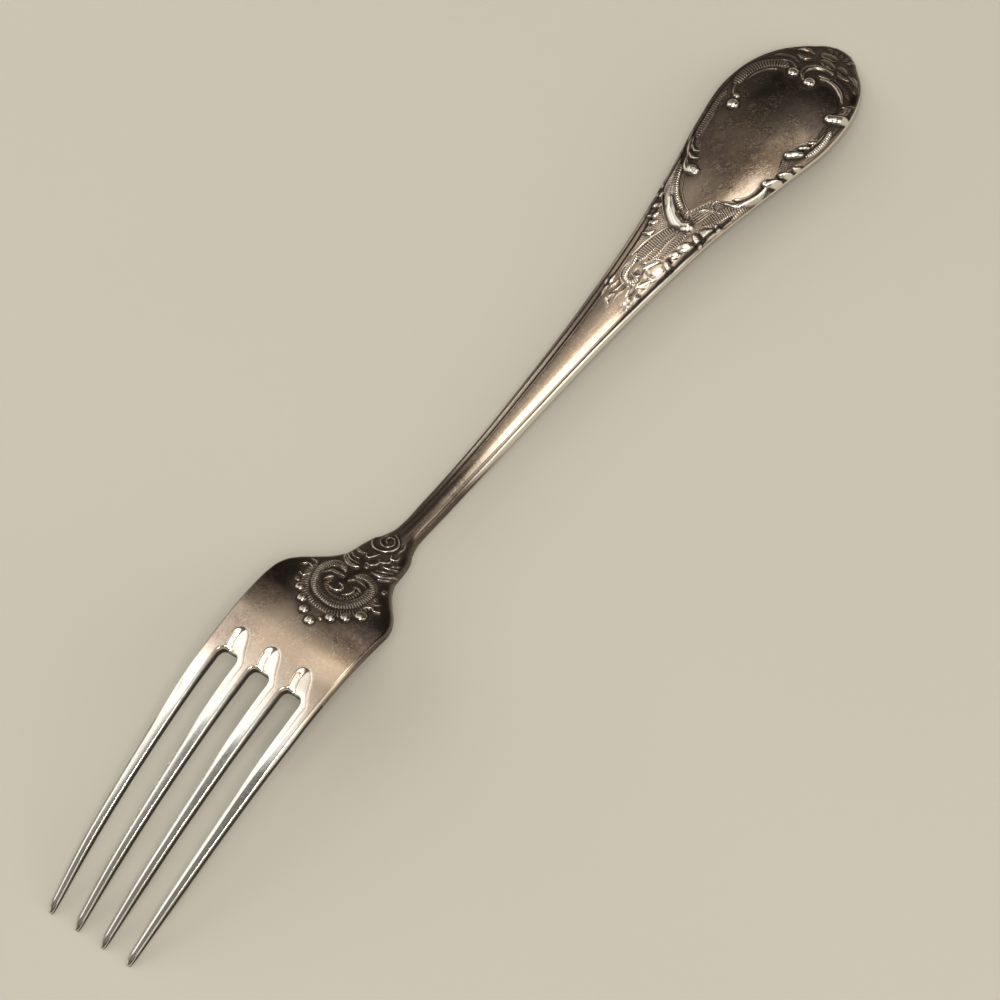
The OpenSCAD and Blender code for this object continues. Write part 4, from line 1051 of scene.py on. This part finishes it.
def add_tines(blank):
    """Tines, and their run-on between the slots as far as the common rows."""
    tip_end = 2.4
    x = np.concatenate([tip_end * np.linspace(0, 1, 16)[:-1] ** 1.6,
                        stations([(tip_end, 0.33), (TINE_LENGTH, 0.2)], SLOT_ROUND_START),
                        mix(SLOT_ROUND_START, COMMON, RUN_ON)])
    straight = int(np.argmin(np.abs(x - SLOT_ROUND_START)))
    plane = int(np.argmin(np.abs(x - TINE_LENGTH)))
    for k in range(4):
        zone = np.where((x[:-1] + x[1:]) / 2 < TINE_LENGTH, k, ROOT_ZONE)
        y = tine_columns(x, k, FRONT_SEGMENTS)
        gx = columned(x, y)
        front = stack(gx, y, np.where(gx < TINE_LENGTH, tine_front(gx, y, k), root_front(gx, y)))
        y = tine_columns(x, k, BACK_SEGMENTS)
        gx = columned(x, y)
        back = stack(gx, y, np.where(gx < TINE_LENGTH, tine_back(gx, y, k), root_back(gx, y)))
        # brown: painted shade along the lower edge of the inner tines near the root, given as tarnish
        brown = 0.0
        if k < 3:
            lower = y - tine_edges(x, k)[1][:, None]
            brown = 0.6 * ease(0.75, 0.15, lower) * span(gx, 26, 44, 48.3, 49.6)
        back_ids = blank.grid(back, zone, (0, 0, 1), brown, root_rub(gx, y), film_and_painted_light_share(gx, y))
        front_ids = blank.grid(front, zone, (0, 0, -1))
        walls = []
        for column, side in ((0, 1), (-1, -1)):
            outer = (k == 0 and side > 0) or (k == 3 and side < 0)
            last = len(x) if outer else straight + 1
            rows = wall(back[:last, column], front[:last, column])
            # The tines' walls get 0.9 of the tarnish mark: tarnish together with painted shade.
            walls.append(blank.grid(rows, zone[:last - 1], (0, side, 0), 0.9))
        blank.end(section(back_ids, front_ids, walls, 0), k, -1)
        blank.cut(section(back_ids, front_ids, walls, plane), k, ROOT_ZONE)


def add_slot_ends(blank):
    """Back and front between the slots' ends and the common rows, and the walls round the ends."""
    for middle in SLOT_MIDDLES:
        sheets = []
        for seg, face, side in ((BACK_SEGMENTS, root_back, 1), (FRONT_SEGMENTS, root_front, -1)):
            u = SLOT_W / 2 - SLOT_W * crowded(seg["slot"], 0.4)
            gx = mix(slot_end(u)[None, :], COMMON, RUN_ON[:, None])
            gx[:, 0] = gx[:, -1] = mix(SLOT_ROUND_START, COMMON, RUN_ON)
            y = np.repeat(middle + u[None, :], len(RUN_ON), 0)
            points = stack(gx, y, face(gx, y))
            ids = blank.grid(points, ROOT_ZONE, (0, 0, side), 0.0, root_rub(gx, y), film_and_painted_light_share(gx, y))
            sheets.append((points, ids))
        (top, _), (low, low_ids) = sheets
        ring = top[0].copy()
        ring[:, 2] = root_front(top[:1, :, 0], top[:1, :, 1])[0] + 0.12
        ring[[0, -1], 2] = low[0, [0, -1], 2]
        # The walls round the slots' ends get 0.85 of the tarnish mark: painted shade.
        wall_ids = blank.grid(wall(top[0], ring), ROOT_ZONE, (-1, 0, 0), 0.85)
        blank.zip(wall_ids[:, -1], low_ids[0], ROOT_ZONE, (-1, 0, -1))


class Wire:
    """A number that runs through a finish: each operator adds the Math node that works it out."""

    def __init__(self, finish, socket):
        self.finish, self.socket = finish, socket

    def math(self, operation, a, b, clamp=False):
        """A Math node on two wires or numbers."""
        return self.finish.node("Math", dict(operation=operation, use_clamp=clamp), {0: a, 1: b})

    def __add__(self, other):
        return self.math("ADD", self, other)

    def __sub__(self, other):
        return self.math("SUBTRACT", self, other)

    def __mul__(self, other):
        return self.math("MULTIPLY", self, other)

    def __rsub__(self, other):
        return self.math("SUBTRACT", other, self)

    __radd__, __rmul__ = __add__, __mul__

    def clip(self):
        """The wire held between 0 and 1."""
        return self.math("ADD", self, 0.0, True)

    def rise(self, a, b):
        """0 below a and 1 above b, easing between them."""
        return self.finish.node("MapRange", dict(interpolation_type="SMOOTHSTEP"), {0: self, 1: a, 2: b})


class Finish:
    """The nodes of a material or of the world, written as sums of wires."""

    def __init__(self, owner):
        self.owner = owner
        owner.use_nodes = True
        self.tree = owner.node_tree
        self.tree.nodes.clear()

    def node(self, kind, settings=None, sockets=None, out=0):
        """Adds a node with its settings, then its sockets' values or links; returns one of its outputs."""
        node = self.tree.nodes.new("ShaderNode" + kind)
        for key, value in (settings or {}).items():
            setattr(node, key, value)
        for key, value in (sockets or {}).items():
            if isinstance(value, Wire):
                self.tree.links.new(value.socket, node.inputs[key])
            else:
                node.inputs[key].default_value = value
        return Wire(self, node.outputs[out]) if len(node.outputs) else None

    def surface(self, output, kind, sockets):
        """Links a shader of the given kind to the output; returns the material or world."""
        self.node(output, {}, {"Surface": self.node(kind, {}, sockets)})
        return self.owner

    def place(self, scale=(1, 1, 1), turn=(0, 0, 0)):
        """Object coordinates in millimetres, turned and then scaled."""
        at = self.node("Mapping", {}, {"Vector": self.node("TexCoord", out="Object"), "Rotation": turn})
        return self.node("Mapping", {}, {"Vector": at, "Scale": [1000 * v for v in scale]})

    def noise(self, scale, detail=3.0, at=None, rough=0.55):
        """Noise between about 0.25 and 0.75, with features of about 1 / scale millimetres."""
        sockets = {"Vector": at or self.place(), "Scale": scale, "Detail": detail, "Roughness": rough}
        return self.node("TexNoise", {}, sockets)

    def mixed(self, share, a, b):
        """Colour a where share is 0 and b where it is 1."""
        a, b = (colour if isinstance(colour, Wire) else (*colour, 1) for colour in (a, b))
        return self.node("Mix", dict(data_type="RGBA"), {0: share, 6: a, 7: b}, 2)

    def attribute(self, name):
        """A number that the mesh holds for each point."""
        return self.node("Attribute", dict(attribute_name=name), out="Fac")


# Colours: the film's five browns, the black of tarnish and of painted shade, and silver under a thin film and
# bare
BROWN, WARM_BROWN, DEEP_BROWN = (0.15, 0.123, 0.092), (0.155, 0.115, 0.085), (0.118, 0.091, 0.069)
RED_BROWN, SPECK_BROWN, TARNISH_AND_SHADE_BLACK = (0.122, 0.085, 0.076), (0.092, 0.074, 0.056), (0.03, 0.02, 0.013)
WARM_SILVER, BARE_SILVER = (0.78, 0.64, 0.5), (0.93, 0.885, 0.79)
CLOTH, CLOTH_SHADE, HORIZON, OVERHEAD = ((0.545, 0.513, 0.43), (0.526, 0.496, 0.416), (0.2, 0.185, 0.165),
                                         (0.05, 0.043, 0.036))

# Bump of the finish in metres: specks, blotches and scratches
SPECK_HIGH, BLOTCH_HIGH, SCRATCH_DEEP = 0.000002, 0.000003, 0.0000015


def old_silver(name):
    """Silver plate gone warm with age: a brown film, dark tarnish in the recesses, hairlines, bare tops, with
    painted shade and highlights.
    """
    f = Finish(bpy.data.materials.new(name))
    tarnish_and_shade, rub_and_sheen, film_and_painted_light = f.attribute("tarnish_and_shade"), f.attribute("rub_and_sheen"), f.attribute("film_and_painted_light")
    cloud, blotch, speck = f.noise(0.09, 3.0), f.noise(0.35, 5.0), f.noise(1.7, 6.0, None, 0.65)
    scratch = None
    for along, across, angle, low in ((0.6, 11.0, 0.3, 0.63), (0.5, 11.0, -0.6, 0.63), (0.6, 11.0, 0.9, 0.63),
                                      (0.5, 10.0, 1.6, 0.64)):
        at = f.place((along, across, across), (0, 0, angle))
        hairline = f.noise(1.0, 1.0, at, 0.6).rise(low, low + 0.05)
        scratch = hairline if scratch is None else scratch + 0.7 * hairline
    scratch = (scratch * blotch.rise(0.4, 0.6)).clip()

    calm = 0.3 + 0.7 * film_and_painted_light
    brown = f.mixed(cloud.rise(0.42, 0.58), BROWN, WARM_BROWN)
    brown = f.mixed(blotch.rise(0.4, 0.62), brown, DEEP_BROWN)
    brown = f.mixed(f.noise(0.16, 2.0).rise(0.46, 0.62), brown, RED_BROWN)
    brown = f.mixed(speck.rise(0.36, 0.62), SPECK_BROWN, brown)
    film_and_painted_light = film_and_painted_light + ((cloud - 0.5) * 0.12 + (blotch - 0.5) * 0.35 + (speck - 0.5) * 0.6) * calm
    film_and_painted_light = (film_and_painted_light * (1 - 0.85 * rub_and_sheen) - 0.34 * scratch).clip()
    bright = f.mixed(film_and_painted_light, f.mixed(rub_and_sheen, WARM_SILVER, BARE_SILVER), brown)
    # deep: tarnish, together with painted shade on shaded walls and sides, darkens the colour towards black
    deep = (tarnish_and_shade * (0.7 + 0.8 * speck)).clip()
    colour = f.mixed(deep, bright, TARNISH_AND_SHADE_BLACK)

    rough = 0.18 + (0.1 * (blotch - 0.5) + 0.12 * (speck - 0.5)) * calm + 0.06 * scratch + 0.28 * deep
    height = ((speck - 0.5) * SPECK_HIGH + (blotch - 0.5) * BLOTCH_HIGH) * calm - scratch * SCRATCH_DEEP
    bump = f.node("Bump", {}, {"Strength": 1.0, "Distance": 1.0, "Height": height})
    return f.surface("OutputMaterial", "BsdfPrincipled", {"Base Color": colour, "Metallic": 1.0 - 0.35 * deep,
                                                          "Roughness": rough, "Normal": bump})


def pale_cloth():
    """Plain warm white, a little uneven, as a floor."""
    f = Finish(bpy.data.materials.new("pale_floor"))
    colour = f.mixed(f.noise(0.012, 2.0), CLOTH, CLOTH_SHADE)
    return f.surface("OutputMaterial", "BsdfPrincipled", {"Base Color": colour, "Roughness": 0.8})


SLOTS = {"worn_silver": ["tine_1", "tine_2", "tine_3", "tine_4", "root_plate"], "stem_silver": ["stem"],
         "patinated_silver": ["heel", "neck", "handle_throat", "handle_shield", "handle_tip"]}

blank = Blank()
add_body(blank)
add_tines(blank)
add_slot_ends(blank)
blank.weld()
for slot, names in SLOTS.items():
    finish = old_silver(slot)
    for name in names:
        piece = blank.piece(name + "_silver", ZONES.index(name))
        piece.data.materials.append(finish)
        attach(piece, "root")
        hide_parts(name)


def floor():
    """A flat square 6 m wide, just under the fork's resting points."""
    half, level = 3.0, -0.00003
    corners = [(x * half, y * half, level) for x, y in ((-1, -1), (1, -1), (1, 1), (-1, 1))]
    mesh = bpy.data.meshes.new("floor")
    mesh.from_pydata(corners, [], [(0, 1, 2, 3)])
    mesh.materials.append(pale_cloth())
    sheet = bpy.data.objects.new("floor", mesh)
    bpy.context.scene.collection.objects.link(sheet)


def softbox(name, place, wide, high, radiance, colour=(1, 1, 1)):
    """Lamp that faces the fork's middle from a place in metres; its power is radiance times pi times area."""
    direction = np.array(place) / np.linalg.norm(place)
    lamp = bpy.data.lights.new(name, "AREA")
    lamp.shape = "RECTANGLE"
    lamp.size, lamp.size_y = wide, high
    lamp.energy = radiance * pi * wide * high
    lamp.color = colour
    across = np.cross([0, 1, 0] if abs(direction[1]) < 0.5 else [0, 0, 1], direction)
    across /= np.linalg.norm(across)
    obj = bpy.data.objects.new(name, lamp)
    obj.visible_camera = False
    stand(obj, across, np.cross(direction, across), direction, place)


def dim_room():
    """World: a dim warm grey overhead that grows lighter towards the horizon."""
    f = Finish(bpy.data.worlds.new("room"))
    height = f.node("SeparateXYZ", {}, {0: f.node("TexCoord", out="Generated")}, "Z")
    colour = f.mixed(height.rise(0.05, 0.5), HORIZON, OVERHEAD)
    bpy.context.scene.world = f.surface("OutputWorld", "Background", {"Color": colour})


# Each lamp's name, place in metres, width, height, radiance and colour
LAMPS = (("over_softbox", (0.44, -0.17, 1.40), 0.34, 0.74, 3.8, (1.0, 0.98, 0.93)),
         ("glow_panel", (0.66, 0.31, 1.34), 0.5, 0.26, 1.0, (1.0, 0.84, 0.64)),
         ("window", (-0.47, -0.62, 1.32), 1.5, 1.1, 1.15, (1.0, 0.98, 0.95)),
         ("lamp", (-0.46, -0.61, 1.31), 0.30, 0.30, 35.0, (1.0, 0.98, 0.95)),
         ("near_fill", (0.45, -1.30, 0.95), 1.3, 0.7, 1.6, (1.0, 0.97, 0.92)),
         ("near_strip", (0.42, -1.30, 0.36), 1.3, 0.5, 1.2, (1.0, 0.98, 0.94)),
         ("far_fill", (0.75, 1.35, 0.75), 1.0, 0.6, 0.2, (1.0, 0.97, 0.92)),
         ("ceiling", (0.58, 0.72, 1.50), 0.86, 0.6, 0.56, (1.0, 0.94, 0.86)),
         ("grey_panel", (0.98, 0.30, 1.12), 0.5, 0.5, 0.6, (0.95, 0.97, 1.0)),
         ("thread_strip", (0.15, 0.40, 0.27), 0.16, 0.1, 1.6, (1.0, 0.96, 0.9)),
         ("bevel_strip", (-0.14, 0.58, 0.39), 0.54, 0.24, 1.25),
         ("scoop_strip", (-0.05, 0.41, 0.53), 0.5, 0.16, 1.1),
         ("low_strip", (-0.12, 0.60, 0.19), 0.5, 0.14, 1.1),
         ("root_panel", (-0.07, 0.27, 0.60), 0.22, 0.3, 1.3),
         ("tan_panel", (0.11, 0.22, 0.60), 0.14, 0.3, 0.42, (1.0, 0.9, 0.79)),
         ("tine_panel", (-0.46, 0.27, 0.52), 0.5, 0.34, 0.14))

floor()
for lamp in LAMPS:
    softbox(*lamp)
dim_room()
bpy.context.scene.view_settings.view_transform = "Standard"
